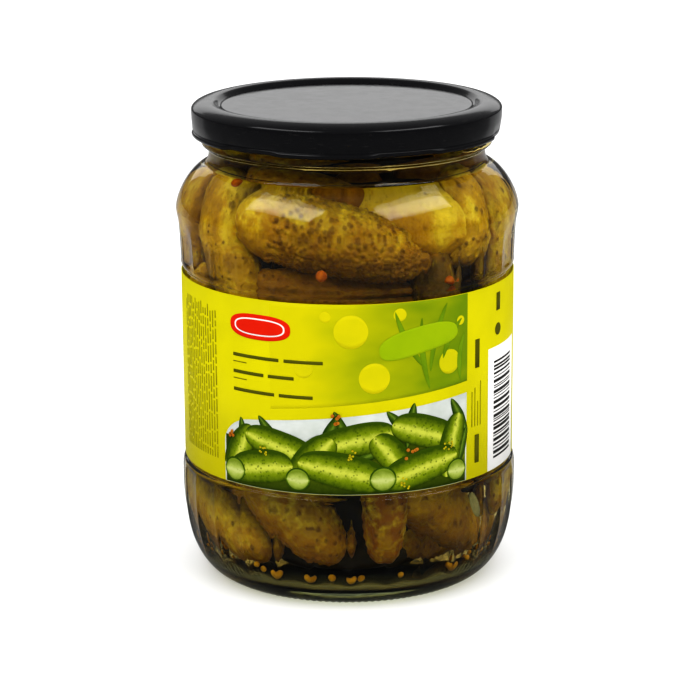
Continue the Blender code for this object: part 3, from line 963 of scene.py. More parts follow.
@dataclass
class PaperLabel:
    """The label: a paper wrap whose print is laid on as thin films of ink, each a little above the last."""
    inner_radius: float = 0.04645
    paper: float = 0.00020
    film: float = 0.000012
    film_pitch: float = 1.5
    foot: float = 0.03435
    top: float = 0.08715
    seam_angle: float = 4.0
    panel_left: float = -0.0375
    panel_right: float = 0.0352
    panel_height: float = 0.0176
    panel_rise: float = 0.0075
    panel_corner: float = 0.0090
    panel_border: float = 0.0032
    margin: float = 0.0001
    meadow_left: float = -0.0216
    code_panel: Numbers = (0.0447, 0.0640, 0.03445, 0.0694)
    facts_panel: Numbers = (-0.1250, -0.0760, 0.0400, 0.0820)
    facts_lines: Numbers = (0.0430, 0.0800, 0.0028)
    facts_margins: Point = (0.0025, 0.0030)
    facts_line: float = 0.0003
    blade_width: float = 0.0017
    blade_bend: float = 0.0010
    leaf_length: float = 0.0125
    leaf_width: float = 0.0034
    pile_height: float = 0.0135
    pile_rise: float = 0.0040
    pile_waves: Point = (0.0012, 17.0)
    cucumber_blunt: float = 2.7
    cucumber_bend: float = 0.0006
    cucumber_taper: float = 0.06
    rind_width: float = 0.96
    flesh_size: Point = (0.88, 0.84)
    berry_count: int = 5
    berry_spread: float = 0.0008
    berry_radius: float = 0.0005
    flower_count: int = 9
    flower_spread: float = 0.0010
    flower_radius: float = 0.0003
    discs: tuple[Numbers, ...] = (
        (-0.0120, 0.0694, 0.0026), (0.0008, 0.0797, 0.0046), (0.0070, 0.0668, 0.0042),
        (0.0290, 0.0692, 0.0034), (0.0140, 0.0838, 0.0018), (0.0328, 0.0800, 0.0013),
        (-0.0060, 0.0838, 0.0015))
    blades: tuple[Numbers, ...] = (
        (0.0170, 0.0765, 118, 0.0185), (0.0215, 0.0725, 97, 0.0200), (0.0255, 0.0765, 74, 0.0190),
        (0.0300, 0.0755, 58, 0.0120), (0.0335, 0.0700, 84, 0.0130))
    leaves: tuple[Numbers, ...] = (
        (-0.0345, 0.0452, 62), (-0.0302, 0.0475, 100), (-0.0215, 0.0500, 128), (-0.0052, 0.0515, 64),
        (-0.0015, 0.0520, 112), (0.0145, 0.0528, 132), (0.0170, 0.0530, 80), (0.0325, 0.0532, 118),
        (0.0330, 0.0440, 70), (0.0040, 0.0450, 20), (-0.0120, 0.0440, 160), (0.0270, 0.0420, 24))
    cucumbers: tuple[Numbers, ...] = (
        (-0.0312, 0.0446, 62, 0.0160, 0.0076), (0.0010, 0.0490, 12, 0.0240, 0.0088),
        (0.0222, 0.0500, -20, 0.0220, 0.0088), (-0.0190, 0.0466, -16, 0.0220, 0.0086),
        (0.0300, 0.0456, 76, 0.0180, 0.0076), (-0.0098, 0.0440, 48, 0.0165, 0.0082),
        (0.0118, 0.0442, -52, 0.0160, 0.0082), (-0.0250, 0.0402, 10, 0.0200, 0.0092),
        (0.0205, 0.0405, 13, 0.0225, 0.0094), (-0.0020, 0.0408, -12, 0.0240, 0.0098))
    rounds: tuple[Numbers, ...] = (
        (-0.0335, 0.0385, 0.0072), (-0.0138, 0.0384, 0.0068), (0.0092, 0.0386, 0.0074),
        (0.0314, 0.0384, 0.0066))
    berries: tuple[Point, ...] = ((-0.0028, 0.0553), (0.0170, 0.0452), (-0.0345, 0.0478))
    flowers: tuple[Point, ...] = ((-0.0235, 0.0452), (0.0150, 0.0372), (0.0005, 0.0455), (0.0290, 0.0455))
    badge_place: Point = (-0.0250, 0.0795)
    badge_sizes: tuple[Point, ...] = ((0.0190, 0.0070), (0.0158, 0.0048), (0.0148, 0.0040))
    badge_blunt: float = 2.6
    leaf_badge_place: Point = (0.0200, 0.0757)
    leaf_badge_length: float = 0.0236
    leaf_badge_width: float = 0.0074
    leaf_badge_turn: float = 10.0
    bars: tuple[Numbers, ...] = (
        (-0.0336, -0.0190, 0.0706, 0.0715), (-0.0175, -0.0067, 0.0706, 0.0715),
        (-0.0336, -0.0236, 0.0659, 0.0668), (-0.0222, -0.0147, 0.0659, 0.0668),
        (-0.0336, -0.0204, 0.0609, 0.0618), (-0.0190, -0.0095, 0.0609, 0.0618))
    thin_bars: tuple[Numbers, ...] = (
        (-0.0336, -0.0290, 0.0690, 0.0692), (-0.0336, -0.0290, 0.0643, 0.0645),
        (0.0386, 0.0404, 0.0655, 0.0735), (0.0386, 0.0404, 0.0385, 0.0465))
    icon_dot: Numbers = (0.0500, 0.0742, 0.0034)
    icon_bar: Numbers = (0.0490, 0.0512, 0.0795, 0.0845)
    side_lines: tuple[Point, ...] = ((0.0372, 0.0590), (0.0384, 0.0600), (0.0396, 0.0560), (0.0408, 0.0615))
    side_line_foot: float = 0.0490
    column_range: Numbers = (-0.0590, -0.0400, 0.0012)
    column_foot: float = 0.0400
    column_top: float = 0.0815
    column_end: float = 0.0830
    column_width: float = 0.0005
    word_sizes: Point = (0.0015, 0.0055)
    word_gap: float = 0.0007
    stripe_left: float = 0.0478
    stripe_right: float = 0.0605
    stripe_foot: float = 0.0375
    stripe_top: float = 0.0655
    stripe_sizes: Numbers = (0.0003, 0.0006, 0.0009)
    stripe_gaps: Numbers = (0.0003, 0.0006)

    def wrap(self, name: str, patches: Sequence[Patch], layer: int,
             material: bpy.types.Material) -> bpy.types.Object:
        """Lays flat shapes round the label as one closed film.

        Args:
            name: the piece's name.
            patches: the shapes.
            layer: how many films it lies above the paper.
            material: its ink.

        Returns:
            The object.
        """
        points, places, faces = [], [], []
        for number, patch in enumerate(patches):
            base = self.inner_radius + self.paper + self.film * (layer + patch.lift - 1) * self.film_pitch
            share = 0.5 - 0.5 * np.cos(np.linspace(0.0, math.pi, patch.columns))
            up = np.linspace(0.0, 1.0, patch.rows)
            low, high = patch.low(share), patch.high(share)
            across = low[None, :] + (high - low)[None, :] * up[:, None]
            forth = np.broadcast_to((share - 0.5) * patch.length, across.shape)
            turn = math.radians(patch.turn)
            along = patch.along + forth * math.cos(turn) - across * math.sin(turn)
            height = patch.height + forth * math.sin(turn) + across * math.cos(turn)
            angle = along / self.inner_radius
            for lift in (base, base + self.film):
                sheet = np.stack([lift * np.sin(angle), -lift * np.cos(angle), height], axis=2)
                place = np.stack([np.broadcast_to(share, across.shape),
                                  np.broadcast_to(2 * up[:, None] - 1, across.shape),
                                  np.full(across.shape, 0.37 * number)], axis=2)
                points.append(sheet.reshape(-1, 3))
                places.append(place.reshape(-1, 3))
            faces += self.shell_faces(patch.rows, patch.columns, 2 * number, [len(p) for p in points])
        piece = mesh_object(name, np.concatenate(points), faces, material,
                            {"print_place": np.concatenate(places)})
        for face in piece.data.polygons:
            outward = Vector((face.center.x, face.center.y, 0.0)).normalized()
            face.use_smooth = abs(face.normal.dot(outward)) > 0.5
        return piece

    @staticmethod
    def shell_faces(rows: int, columns: int, sheet: int, sizes: Sequence[int]) -> list[tuple[int, ...]]:
        """Faces of the closed shell between two grids of points.

        Args:
            rows: the rows of each grid.
            columns: its columns.
            sheet: the number of the inner grid among all grids so far.
            sizes: how many points each grid has.

        Returns:
            The faces.
        """
        inner, outer = sum(sizes[:sheet]), sum(sizes[:sheet + 1])
        faces: list[tuple[int, ...]] = grid_faces(rows, columns, False, outer)
        faces += [face[::-1] for face in grid_faces(rows, columns, False, inner)]
        rim = list(range(columns)) + [columns * (row + 1) - 1 for row in range(1, rows)]
        rim += [columns * rows - 1 - k for k in range(1, columns)]
        rim += [columns * (rows - 1 - row) for row in range(1, rows - 1)]
        for here, after in zip(rim, rim[1:] + rim[:1]):
            faces.append((inner + here, inner + after, outer + after, outer + here))
        return faces

    def upright(self, left: float, right: float, low: float, high: float, columns: int = 24) -> Patch:
        """A plain upright rectangle between two arc lengths and two heights."""
        middle = (low + high) / 2
        return Patch(*plain(low - middle, high - middle), right - left, (left + right) / 2, middle,
                     columns=columns, rows=2)

    def build(self) -> list[bpy.types.Object]:
        """Builds the paper and its print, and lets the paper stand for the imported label."""
        pieces = [self.build_paper()]
        pieces += self.build_fields()
        pieces += self.build_produce()
        pieces += self.build_marks()
        for piece in pieces:
            dress(piece, Part.LABEL, replaces=piece is pieces[0])
        return pieces

    def build_paper(self) -> bpy.types.Object:
        """The paper with its yellow ground, its two ends a little apart at the back."""
        half = self.inner_radius * math.radians(180.0 - self.seam_angle / 2)
        ground = PaperInk("label_yellow", (0.545, 0.500, 0.002), (0.500, 0.460, 0.002))
        sheet = Patch(*plain(self.foot - self.top, 0.0), 2 * half, 0.0, self.top, columns=361, rows=3)
        paper = PaperLabel(self.inner_radius, 0.0, self.paper)
        return paper.wrap("paper_wrap", [sheet], 1, ground.material())

    def crest(self, share: Array) -> Array:
        """Upper edge of the picture panel above the label's foot: it climbs from a round corner."""
        reach = np.clip(share * (self.panel_right - self.panel_left) / self.panel_corner, 0.0, 1.0)
        corner = self.panel_corner * 0.7 * (1 - np.sqrt(np.clip(1 - (1 - reach) ** 2, 0.0, None)))
        return self.panel_height + self.panel_rise * share ** 0.8 - corner

    def build_fields(self) -> list[bpy.types.Object]:
        """The broad fields: blurred green with discs and blades, the picture panel and the side panels."""
        width = self.panel_right - self.panel_left
        middle = (self.panel_left + self.panel_right) / 2
        panel = Patch(lambda share: np.full_like(share, self.margin), self.crest, width, middle, self.foot,
                      columns=90)
        left = self.meadow_left
        span = self.panel_right + 2 * self.margin - left

        def meadow_foot(share: Array) -> Array:
            """Lower edge of the green field, a border's width above the picture."""
            return self.crest((share * span + left - self.panel_left) / width) + self.panel_border
        meadow_top = self.top - self.foot - self.margin
        meadow = Patch(meadow_foot, lambda share: np.full_like(share, meadow_top), span, left + span / 2,
                       self.foot, columns=80, rows=24)
        glow = PaperInk("label_glow", (0.560, 0.500, 0.004), (0.480, 0.450, 0.004))
        blade = PaperInk("label_blade", (0.105, 0.190, 0.004), (0.160, 0.260, 0.006), mottle=150.0)
        discs = [Patch(*ellipse(2 * r), 2 * r, x, z, rows=8) for x, z, r in self.discs]
        blades = [Patch(*blunt(self.blade_width, 1.7, self.blade_bend), length, x, z, turn, rows=5,
                        columns=30) for x, z, turn, length in self.blades]
        code = self.upright(*self.code_panel)
        facts = self.upright(*self.facts_panel, columns=60)
        pale = PaperInk("label_pale", (0.52, 0.54, 0.51), (0.43, 0.46, 0.42), mottle=140.0)
        white = PaperInk("label_white", (0.80, 0.79, 0.77), (0.76, 0.75, 0.73))
        return [self.wrap("print_meadow", [meadow], 1, MeadowInk().material()),
                self.wrap("print_discs", discs, 3, glow.material()),
                self.wrap("print_blades", blades, 4, blade.material()),
                self.wrap("print_pale_panel", [panel], 2, pale.material()),
                self.wrap("print_white_panels", [code, facts], 2, white.material())]

    def build_produce(self) -> list[bpy.types.Object]:
        """Generic vegetables on the picture panel: leaves behind, gherkins, and cut rounds in front."""
        leaf_ink = ProduceInk("label_leaf", (0.020, 0.050, 0.004), (0.060, 0.110, 0.008),
                              (0.13, 0.20, 0.02), 0.2)
        skin_ink = ProduceInk("label_cucumber", (0.040, 0.075, 0.002), (0.180, 0.240, 0.006),
                              (0.46, 0.49, 0.07), 0.6)
        cut_ink = ProduceInk("label_round", (0.16, 0.22, 0.02), (0.32, 0.38, 0.08), (0.44, 0.48, 0.17), 0.3)
        rind_ink = ProduceInk("label_rind", (0.035, 0.075, 0.003), (0.080, 0.140, 0.006),
                              (0.15, 0.22, 0.02), 0.2)
        shade_ink = ProduceInk("label_pile_shade", (0.030, 0.050, 0.003), (0.065, 0.095, 0.004),
                               (0.14, 0.18, 0.01), 0.3)
        dot_ink = PaperInk("label_orange_dots", (0.42, 0.17, 0.02), (0.34, 0.11, 0.01), mottle=900.0)
        flower_ink = PaperInk("label_yellow_dots", (0.46, 0.40, 0.01), (0.40, 0.30, 0.01), mottle=900.0)

        def pile_top(share: Array) -> Array:
            """Upper edge of the shade behind the heap."""
            size, count = self.pile_waves
            waves = size * np.sin(count * share) * np.sin(math.pi * share)
            return self.pile_height + self.pile_rise * share + waves
        span = self.panel_right - self.panel_left - 10 * self.margin
        ground = Patch(lambda share: np.full_like(share, 2 * self.margin), pile_top, span,
                       (self.panel_left + self.panel_right) / 2, self.foot, rows=12, columns=90)
        leaves = [Patch(*blunt(self.leaf_width, 1.6), self.leaf_length, x, z, turn, rows=7)
                  for x, z, turn in self.leaves]
        whole = []
        for k, (x, z, turn, length, width) in enumerate(self.cucumbers):
            taper = -self.cucumber_taper if k % 2 else self.cucumber_taper
            edges = blunt(width, self.cucumber_blunt, self.cucumber_bend, taper)
            whole.append(Patch(*edges, length, x, z, turn, rows=14, columns=64, lift=k))
        rind = [Patch(*ellipse(size * self.rind_width), size, x, z, rows=10) for x, z, size in self.rounds]
        flesh_length, flesh_width = self.flesh_size
        flesh = [Patch(*ellipse(size * flesh_width), size * flesh_length, x, z, rows=10)
                 for x, z, size in self.rounds]
        rng = np.random.default_rng(21)

        def cluster(middles: Sequence[Point], count: int, spread: float, radius: float) -> list[Patch]:
            """Small dots scattered round each middle."""
            return [Patch(*ellipse(2 * radius), 2 * radius, x + rng.normal(0.0, spread),
                          z + rng.normal(0.0, spread), rows=4, columns=12)
                    for x, z in middles for _ in range(count)]
        berries = cluster(self.berries, self.berry_count, self.berry_spread, self.berry_radius)
        flowers = cluster(self.flowers, self.flower_count, self.flower_spread, self.flower_radius)
        return [self.wrap("print_pile_shade", [ground], 3, shade_ink.material()),
                self.wrap("print_leaves", leaves, 4, leaf_ink.material()),
                self.wrap("print_cucumbers", whole, 5, skin_ink.material()),
                self.wrap("print_rinds", rind, 16, rind_ink.material()),
                self.wrap("print_rounds", flesh, 17, cut_ink.material()),
                self.wrap("print_berries", berries, 18, dot_ink.material()),
                self.wrap("print_flowers", flowers, 19, flower_ink.material())]

    def small_columns(self, rng: np.random.Generator) -> list[Patch]:
        """Upright bars for the small print: plain lines at the right, broken columns at the left."""
        small = [self.upright(x, x + 0.0004, self.side_line_foot, top, 3) for x, top in self.side_lines]
        for x in np.arange(*self.column_range):
            z = self.column_foot
            while z < self.column_top:
                word = rng.uniform(*self.word_sizes)
                small.append(self.upright(x, x + self.column_width, z, min(z + word, self.column_end), 3))
                z += word + self.word_gap
        return small

    def code_stripes(self, rng: np.random.Generator) -> list[Patch]:
        """Stripes of uneven width, one above the other."""
        stripes, z = [], self.stripe_foot
        while z < self.stripe_top:
            size = float(rng.choice(self.stripe_sizes))
            stripes.append(self.upright(self.stripe_left, self.stripe_right, z, z + size, 10))
            z += size + float(rng.choice(self.stripe_gaps))
        return stripes

    def build_marks(self) -> list[bpy.types.Object]:
        """The plain badges, the bars that stand for lines of print, and the stripes."""
        red = PaperInk("label_red", (0.60, 0.022, 0.004), (0.55, 0.018, 0.004))
        green = PaperInk("label_badge_green", (0.300, 0.400, 0.004), (0.255, 0.360, 0.004))
        ink = PaperInk("label_olive_ink", (0.085, 0.085, 0.004), (0.100, 0.100, 0.005))
        faint = PaperInk("label_faint_ink", (0.270, 0.250, 0.002), (0.300, 0.280, 0.002))
        black = PaperInk("label_black_ink", (0.020, 0.020, 0.018), (0.030, 0.030, 0.028))
        white = PaperInk("label_white_ink", (0.72, 0.70, 0.68), (0.68, 0.66, 0.64))
        tag, ring, inset = (
            Patch(*blunt(width, self.badge_blunt), length, *self.badge_place, rows=12, columns=64)
            for length, width in self.badge_sizes)
        badge = Patch(*blunt(self.leaf_badge_width, 2.8, 0.0008, 0.05), self.leaf_badge_length,
                      *self.leaf_badge_place, self.leaf_badge_turn, rows=12, columns=64)
        lines = [self.upright(*bar, 12) for bar in self.bars]
        lines += [self.upright(*bar, 4) for bar in self.thin_bars]
        x, z, size = self.icon_dot
        lines += [Patch(*ellipse(size), size, x, z, rows=6), self.upright(*self.icon_bar, 4)]
        left = self.facts_panel[0] + self.facts_margins[0]
        right = self.facts_panel[1] - self.facts_margins[1]
        facts = [self.upright(left, right, z, z + self.facts_line, 40) for z in np.arange(*self.facts_lines)]
        rng = np.random.default_rng(11)
        small, stripes = self.small_columns(rng), self.code_stripes(rng)
        return [self.wrap("print_red_badge", [tag], 3, red.material()),
                self.wrap("print_white_ring", [ring], 4, white.material()),
                self.wrap("print_red_inset", [inset], 5, red.material()),
                self.wrap("print_green_badge", [badge], 6, green.material()),
                self.wrap("print_bars", lines, 5, ink.material()),
                self.wrap("print_small_bars", small, 3, faint.material()),
                self.wrap("print_stripes", stripes + facts, 4, black.material())]


@dataclass
class Gherkin:
    """One gherkin: where its middle lies, how it leans, its own size, and how it looks."""
    azimuth: float
    height: float
    lean: float
    length: float
    width: float
    depth: float = 0.0
    swing: float = 0.0
    bend: float = 0.0015
    taper: float = 0.08
    blunt: float = 2.5
    held: float = 0.9
    tone: float = 0.35
    # How far the tone shifts from one end of the gherkin to the other.
    ripening: float = 0.06
    rust: float = 0.25
    warts: int = 90
    smooth_end: float = -1.2
    wart_height: float = 0.00050


@dataclass
class Heap:
    """The gherkins: those that show at the front, the ones out of sight, and a core painted near black as
    shade.
    """
    finish: SkinFinish = field(default_factory=SkinFinish)
    seed: int = 7
    # Painted light: how much paler the upper side and darker the underside of each gherkin are coloured.
    sunny_side: float = 0.28
    crowded_warts: int = 600
    hidden_tones: Point = (0.20, 0.60)
    hidden_warts: int = 60
    hidden_wart_height: float = 0.00012
    gap: float = 0.0006
    wall_radius: float = 0.0436
    bore_radius: float = 0.0362
    floor: float = 0.0060
    top: float = 0.1270
    shoulder: tuple[Point, Point] = ((0.0436, 0.1092), (0.0362, 0.1168))
    heel: tuple[Point, Point] = ((0.0340, 0.0060), (0.0436, 0.0165))
    end_share: float = 0.8
    balls: int = 5
    settle_rounds: int = 400
    wall_rounds: int = 60
    common_length: float = 0.044
    common_width: float = 0.0172
    length_spread: float = 0.004
    width_spread: float = 0.0015
    height_spread: float = 0.003
    common_hold: float = 0.2
    upright: float = 80.0
    upright_spread: float = 16.0
    level_spread: float = 20.0
    label_row_height: float = 0.053
    label_row_azimuths: Numbers = (-70, -40, -14, 12, 38, 66)
    azimuth_spread: float = 4.0
    back_heights: Numbers = (0.024, 0.060, 0.097)
    back_count: int = 5
    back_start: float = 112.0
    back_pitch: float = 34.0
    back_shift: float = 10.0
    middle_heights: Numbers = (0.028, 0.062, 0.096)
    middle_depth: float = 0.024
    middle_width: float = 0.0165
    middle_pitch: float = 60.0
    core_radius: float = 0.0225
    core_top: float = 0.1120
    core_rounding: float = 0.008
    core_steps: int = 48
    body_share: float = 0.965
    lobe_sizes: Point = (0.022, 0.014)
    waist_size: float = 0.018
    wart_sink: float = 0.25
    wart_offers: int = 6
    wart_sizes: Point = (0.00045, 0.00092)
    wart_shades: Point = (0.25, 1.05)
    stain_falloff: float = 0.75
    batches: tuple[tuple[str, int, int | None, tuple[int, int]], ...] = (
        ("gherkin_front", 0, 1, (240, 190)), ("gherkins_upper", 1, 9, (124, 94)),
        ("gherkins_lower", 9, 15, (130, 98)), ("gherkins_rest", 15, None, (64, 48)))
    front: tuple[Gherkin, ...] = (
        Gherkin(-8, 0.1008, -13, 0.0495, 0.0174, bend=0.0012, taper=0.06, blunt=2.3, held=1.0,
                tone=0.27, ripening=0.12, rust=0.50, warts=900, wart_height=0.00065, smooth_end=-0.60),
        Gherkin(24, 0.1032, -3, 0.042, 0.0154, depth=0.0075, swing=22, taper=-0.04, blunt=3.2, held=1.0,
                tone=0.20, ripening=-0.14, rust=0.2, warts=14),
        Gherkin(-60, 0.0985, -64, 0.046, 0.0160, bend=0.0022, held=1.0, tone=0.27, rust=0.1, warts=130),
        Gherkin(-86, 0.1030, 72, 0.040, 0.0150, tone=0.24, rust=0.1),
        Gherkin(-26, 0.1112, -14, 0.032, 0.0150, depth=0.011, held=1.0, tone=0.40, rust=0.5, warts=120),
        Gherkin(-1, 0.0845, -8, 0.048, 0.0165, depth=0.006, bend=0.0010, held=1.0, tone=0.60, rust=0.5,
                warts=190),
        Gherkin(59, 0.1090, 76, 0.028, 0.0132, held=1.0, tone=0.28, rust=0.1),
        Gherkin(86, 0.0960, 82, 0.042, 0.0150, tone=0.12, rust=0.4),
        Gherkin(40, 0.0820, 88, 0.036, 0.0140, depth=0.002, held=1.0, tone=0.78),
        # The lower gherkins get paler tones: partly their own colour, partly painted light that makes up for
        # the shade they lie in below the label.
        Gherkin(-33, 0.0270, -45, 0.046, 0.0175, taper=-0.06, held=1.0, tone=0.10, rust=0.7, warts=260),
        Gherkin(15, 0.0325, 90, 0.043, 0.0130, taper=-0.06, held=1.0, tone=0.06, rust=1.0, warts=190),
        Gherkin(-68, 0.0235, -12, 0.042, 0.0165, tone=0.12, rust=0.4),
        Gherkin(42, 0.0240, -40, 0.040, 0.0160, depth=0.002, held=1.0, tone=0.28, rust=0.4),
        Gherkin(64, 0.0150, -8, 0.038, 0.0150, tone=0.15, rust=0.4),
        Gherkin(80, 0.0330, 84, 0.040, 0.0145, tone=0.12, rust=0.4),
    )

    def common(self, rng: np.random.Generator, azimuth: float, height: float, lean: float) -> Gherkin:
        """A gherkin of the common size, give or take a little, that yields to its neighbours."""
        return Gherkin(azimuth, height + rng.uniform(-self.height_spread, self.height_spread), lean,
                       self.common_length + rng.uniform(-self.length_spread, self.length_spread),
                       self.common_width + rng.uniform(-self.width_spread, self.width_spread),
                       held=self.common_hold)

    def hidden(self, rng: np.random.Generator) -> list[Gherkin]:
        """Gherkins out of sight: behind the label, round the back and in the middle.

        Args:
            rng: the source of the small differences between them.

        Returns:
            The gherkins.
        """
        found = []
        for azimuth in self.label_row_azimuths:
            turned = azimuth + rng.uniform(-self.azimuth_spread, self.azimuth_spread)
            lean = self.upright + rng.uniform(-self.upright_spread, self.upright_spread)
            found.append(self.common(rng, turned, self.label_row_height, lean))
        for row, height in enumerate(self.back_heights):
            for place in range(self.back_count):
                standing = (place + row) % 3
                middle, spread = (self.upright, self.upright_spread) if standing else (0.0, self.level_spread)
                azimuth = self.back_start + self.back_pitch * place + self.back_shift * row
                found.append(self.common(rng, azimuth, height, middle + rng.uniform(-spread, spread)))
        for row, height in enumerate(self.middle_heights):
            for side in range(2):
                azimuth = 180.0 * side + self.middle_pitch * row
                lean = self.upright + rng.uniform(-self.upright_spread, self.upright_spread) / 2
                found.append(Gherkin(azimuth, height, lean, self.common_length, self.middle_width,
                                     depth=self.middle_depth, held=self.common_hold))
        return found

    def starting_ends(self, gherkin: Gherkin) -> list[Array]:
        """The two ends of a gherkin's axis when it lies as close to the glass as its size lets it.

        Args:
            gherkin: the gherkin.

        Returns:
            Its two ends.
        """
        half = (gherkin.length - self.end_share * gherkin.width) / 2
        lean = math.radians(gherkin.lean)
        azimuth = math.radians(gherkin.azimuth)
        reach = self.wall_radius - gherkin.width / 2 - self.gap
        across = half * math.cos(lean)
        out = math.sqrt(max(reach ** 2 - across ** 2, 0.0)) - gherkin.depth
        middle = np.array([out * math.sin(azimuth), -out * math.cos(azimuth), gherkin.height])
        facing = azimuth - math.radians(gherkin.swing)
        sideways = np.array([math.cos(facing), math.sin(facing), 0.0])
        axis = sideways * math.cos(lean) + np.array([0.0, 0.0, math.sin(lean)])
        return [middle - half * axis, middle + half * axis]

    @staticmethod
    def line_through(first: Point, second: Point) -> tuple[Point, float]:
        """The line through two (radius, height) points, as outward normal and offset."""
        along = (second[0] - first[0], second[1] - first[1])
        size = math.hypot(*along)
        normal = (along[1] / size, -along[0] / size)
        return normal, normal[0] * first[0] + normal[1] * first[1]

    def push_inside(self, balls: Array, radii: Array) -> Array:
        """The move that brings each ball back inside the glass.

        Args:
            balls: the balls' middles.
            radii: their radii.

        Returns:
            One move for each ball.
        """
        planes = [((1.0, 0.0), self.wall_radius), ((0.0, -1.0), -self.floor), ((0.0, 1.0), self.top),
                  self.line_through(*self.shoulder), self.line_through(*self.heel)]
        radius = np.hypot(balls[:, 0], balls[:, 1]) + 1e-9
        outward = balls[:, :2] / radius[:, None]
        move = np.zeros_like(balls)
        for (side, up), offset in planes:
            over = np.clip(side * radius + up * balls[:, 2] + radii - offset, 0.0, None)
            move[:, :2] -= outward * (over * side)[:, None]
            move[:, 2] -= over * up
        return move

    def settle(self, gherkins: Sequence[Gherkin]) -> Array:
        """Moves the gherkins' ends until no two share space and all lie inside the glass.

        Args:
            gherkins: the gherkins.

        Returns:
            The two ends of each one's axis.
        """
        ends = np.array([self.starting_ends(g) for g in gherkins])
        spans = np.linalg.norm(ends[:, 1] - ends[:, 0], axis=1)
        share = np.linspace(0.0, 1.0, self.balls)
        radii = np.concatenate([g.width / 2 * (1.0 - g.taper * (2 * share - 1)) for g in gherkins])
        owner = np.repeat(np.arange(len(gherkins)), self.balls)
        loose = np.array([1.0 - g.held for g in gherkins])[owner]
        apart = radii[:, None] + radii[None, :]
        yields = loose[:, None] / (loose[:, None] + loose[None, :] + 0.00002)
        yields[owner[:, None] == owner[None, :]] = 0.0
        for turn_number in range(self.settle_rounds + self.wall_rounds):
            balls = ends[:, :1] * (1 - share)[None, :, None] + ends[:, 1:] * share[None, :, None]
            balls = balls.reshape(-1, 3)
            move = np.zeros_like(balls)
            if turn_number < self.settle_rounds:
                offset = balls[:, None] - balls[None, :]
                distance = np.linalg.norm(offset, axis=2) + 0.00002
                overlap = np.clip(apart - distance, 0.0, None) * yields
                move = 0.5 * (offset / distance[..., None] * overlap[..., None]).sum(axis=1)
            move += self.push_inside(balls + move, radii + self.gap)
            move = move.reshape(len(gherkins), self.balls, 3)
            ends[:, 0] += 2.0 * (move * (1 - share)[None, :, None]).mean(axis=1)
            ends[:, 1] += 2.0 * (move * share[None, :, None]).mean(axis=1)
            middle = ends.mean(axis=1)
            axis = ends[:, 1] - ends[:, 0]
            axis *= (spans / np.linalg.norm(axis, axis=1))[:, None] / 2
            ends[:, 0] = middle - axis
            ends[:, 1] = middle + axis
        return ends

    @staticmethod
    def laid_along(ends: Array) -> Matrix:
        """The matrix that lays +Z along the axis, with +X turned outwards from the jar's middle."""
        middle = Vector(ends.mean(axis=0))
        axis = Vector(ends[1] - ends[0]).normalized()
        outward = Vector((middle.x, middle.y, 0.0))
        outward = (outward - axis * outward.dot(axis)).normalized()
        across = axis.cross(outward)
        turned = Matrix((outward, across, axis)).transposed().to_4x4()
        return Matrix.Translation(middle) @ turned

    def skin(self, gherkin: Gherkin, ends: Array, rows: int, sides: int,
             rng: np.random.Generator) -> tuple[Array, dict[str, Array]]:
        """The surface of one gherkin, with its unevenness and its warts.

        Args:
            gherkin: the gherkin.
            ends: the ends of its axis.
            rows: how many rings it has.
            sides: how many points a ring has.
            rng: the source of its unevenness.

        Returns:
            Its points and its attributes.
        """
        level = np.cos(np.linspace(0.0, math.pi, rows + 2))[1:-1]
        around = np.arange(sides) / sides * math.tau
        exponent = 2.0 / gherkin.blunt
        along = np.sign(level) * np.abs(level) ** exponent
        girth = np.sqrt(1.0 - level ** 2) ** exponent * (1.0 - gherkin.taper * along)
        phase = rng.uniform(0.0, math.tau, 6)
        lobes = (self.lobe_sizes[0] * np.cos(3 * around + phase[0])
                 + self.lobe_sizes[1] * np.cos(2 * around + phase[1]))[None, :]
        waist = self.waist_size * np.cos(4.5 * along + phase[2])[:, None] * np.cos(around + phase[3])[None, :]
        radius = gherkin.width / 2 * girth[:, None] * (self.body_share + lobes + waist)
        arch = (-gherkin.bend * along * along)[:, None]
        x = radius * np.cos(around)[None, :] + arch
        y = radius * np.sin(around)[None, :]
        z = np.repeat((gherkin.length / 2 * along)[:, None], sides, axis=1)
        surface = np.stack([x, y, z], axis=2).reshape(-1, 3)
        endward = gherkin.width / 2 * np.repeat((np.abs(along) ** 3 * np.sign(along))[:, None], sides, axis=1)
        normal = np.stack([radius * np.cos(around)[None, :], y, endward], axis=2).reshape(-1, 3)
        normal /= np.linalg.norm(normal, axis=1)[:, None]
        raised, stained = self.wart_fields(gherkin, surface, rng)
        away_from_tips = np.repeat(np.clip(1.6 * girth, 0.0, 1.0), sides)
        surface += normal * (gherkin.wart_height * (raised - self.wart_sink) * away_from_tips)[:, None]
        half = gherkin.length / 2
        tips = np.array([[-gherkin.bend, 0.0, half], [-gherkin.bend, 0.0, -half]])
        points = np.concatenate([surface, tips])
        turned = np.array(self.laid_along(ends))
        shift = rng.uniform(-1.0, 1.0, 3)
        share = np.clip(points[:, 2] / half, -1.0, 1.0)
        upward = np.concatenate([normal, tips / np.linalg.norm(tips, axis=1)[:, None]]) @ turned[2, :3]
        # Painted shade: the valley attribute darkens the low ground between crowded warts.
        past_smooth = points[:-2, 2] / half - gherkin.smooth_end
        crowded = np.clip(4.0 * past_smooth, 0.0, 1.0) * min(gherkin.warts / self.crowded_warts, 1.0)
        # The tone carries painted light: sunny_side makes the upper side paler and the underside darker.
        attributes = {"skin_place": points + shift, "wart": np.concatenate([stained, [0.0, 0.0]]),
                      "valley": np.concatenate([crowded * (1.0 - raised), [0.0, 0.0]]),
                      "rust": np.full(len(points), gherkin.rust),
                      "tone": gherkin.tone + gherkin.ripening * share - self.sunny_side * upward}
        return points @ turned[:3, :3].T + turned[:3, 3], attributes

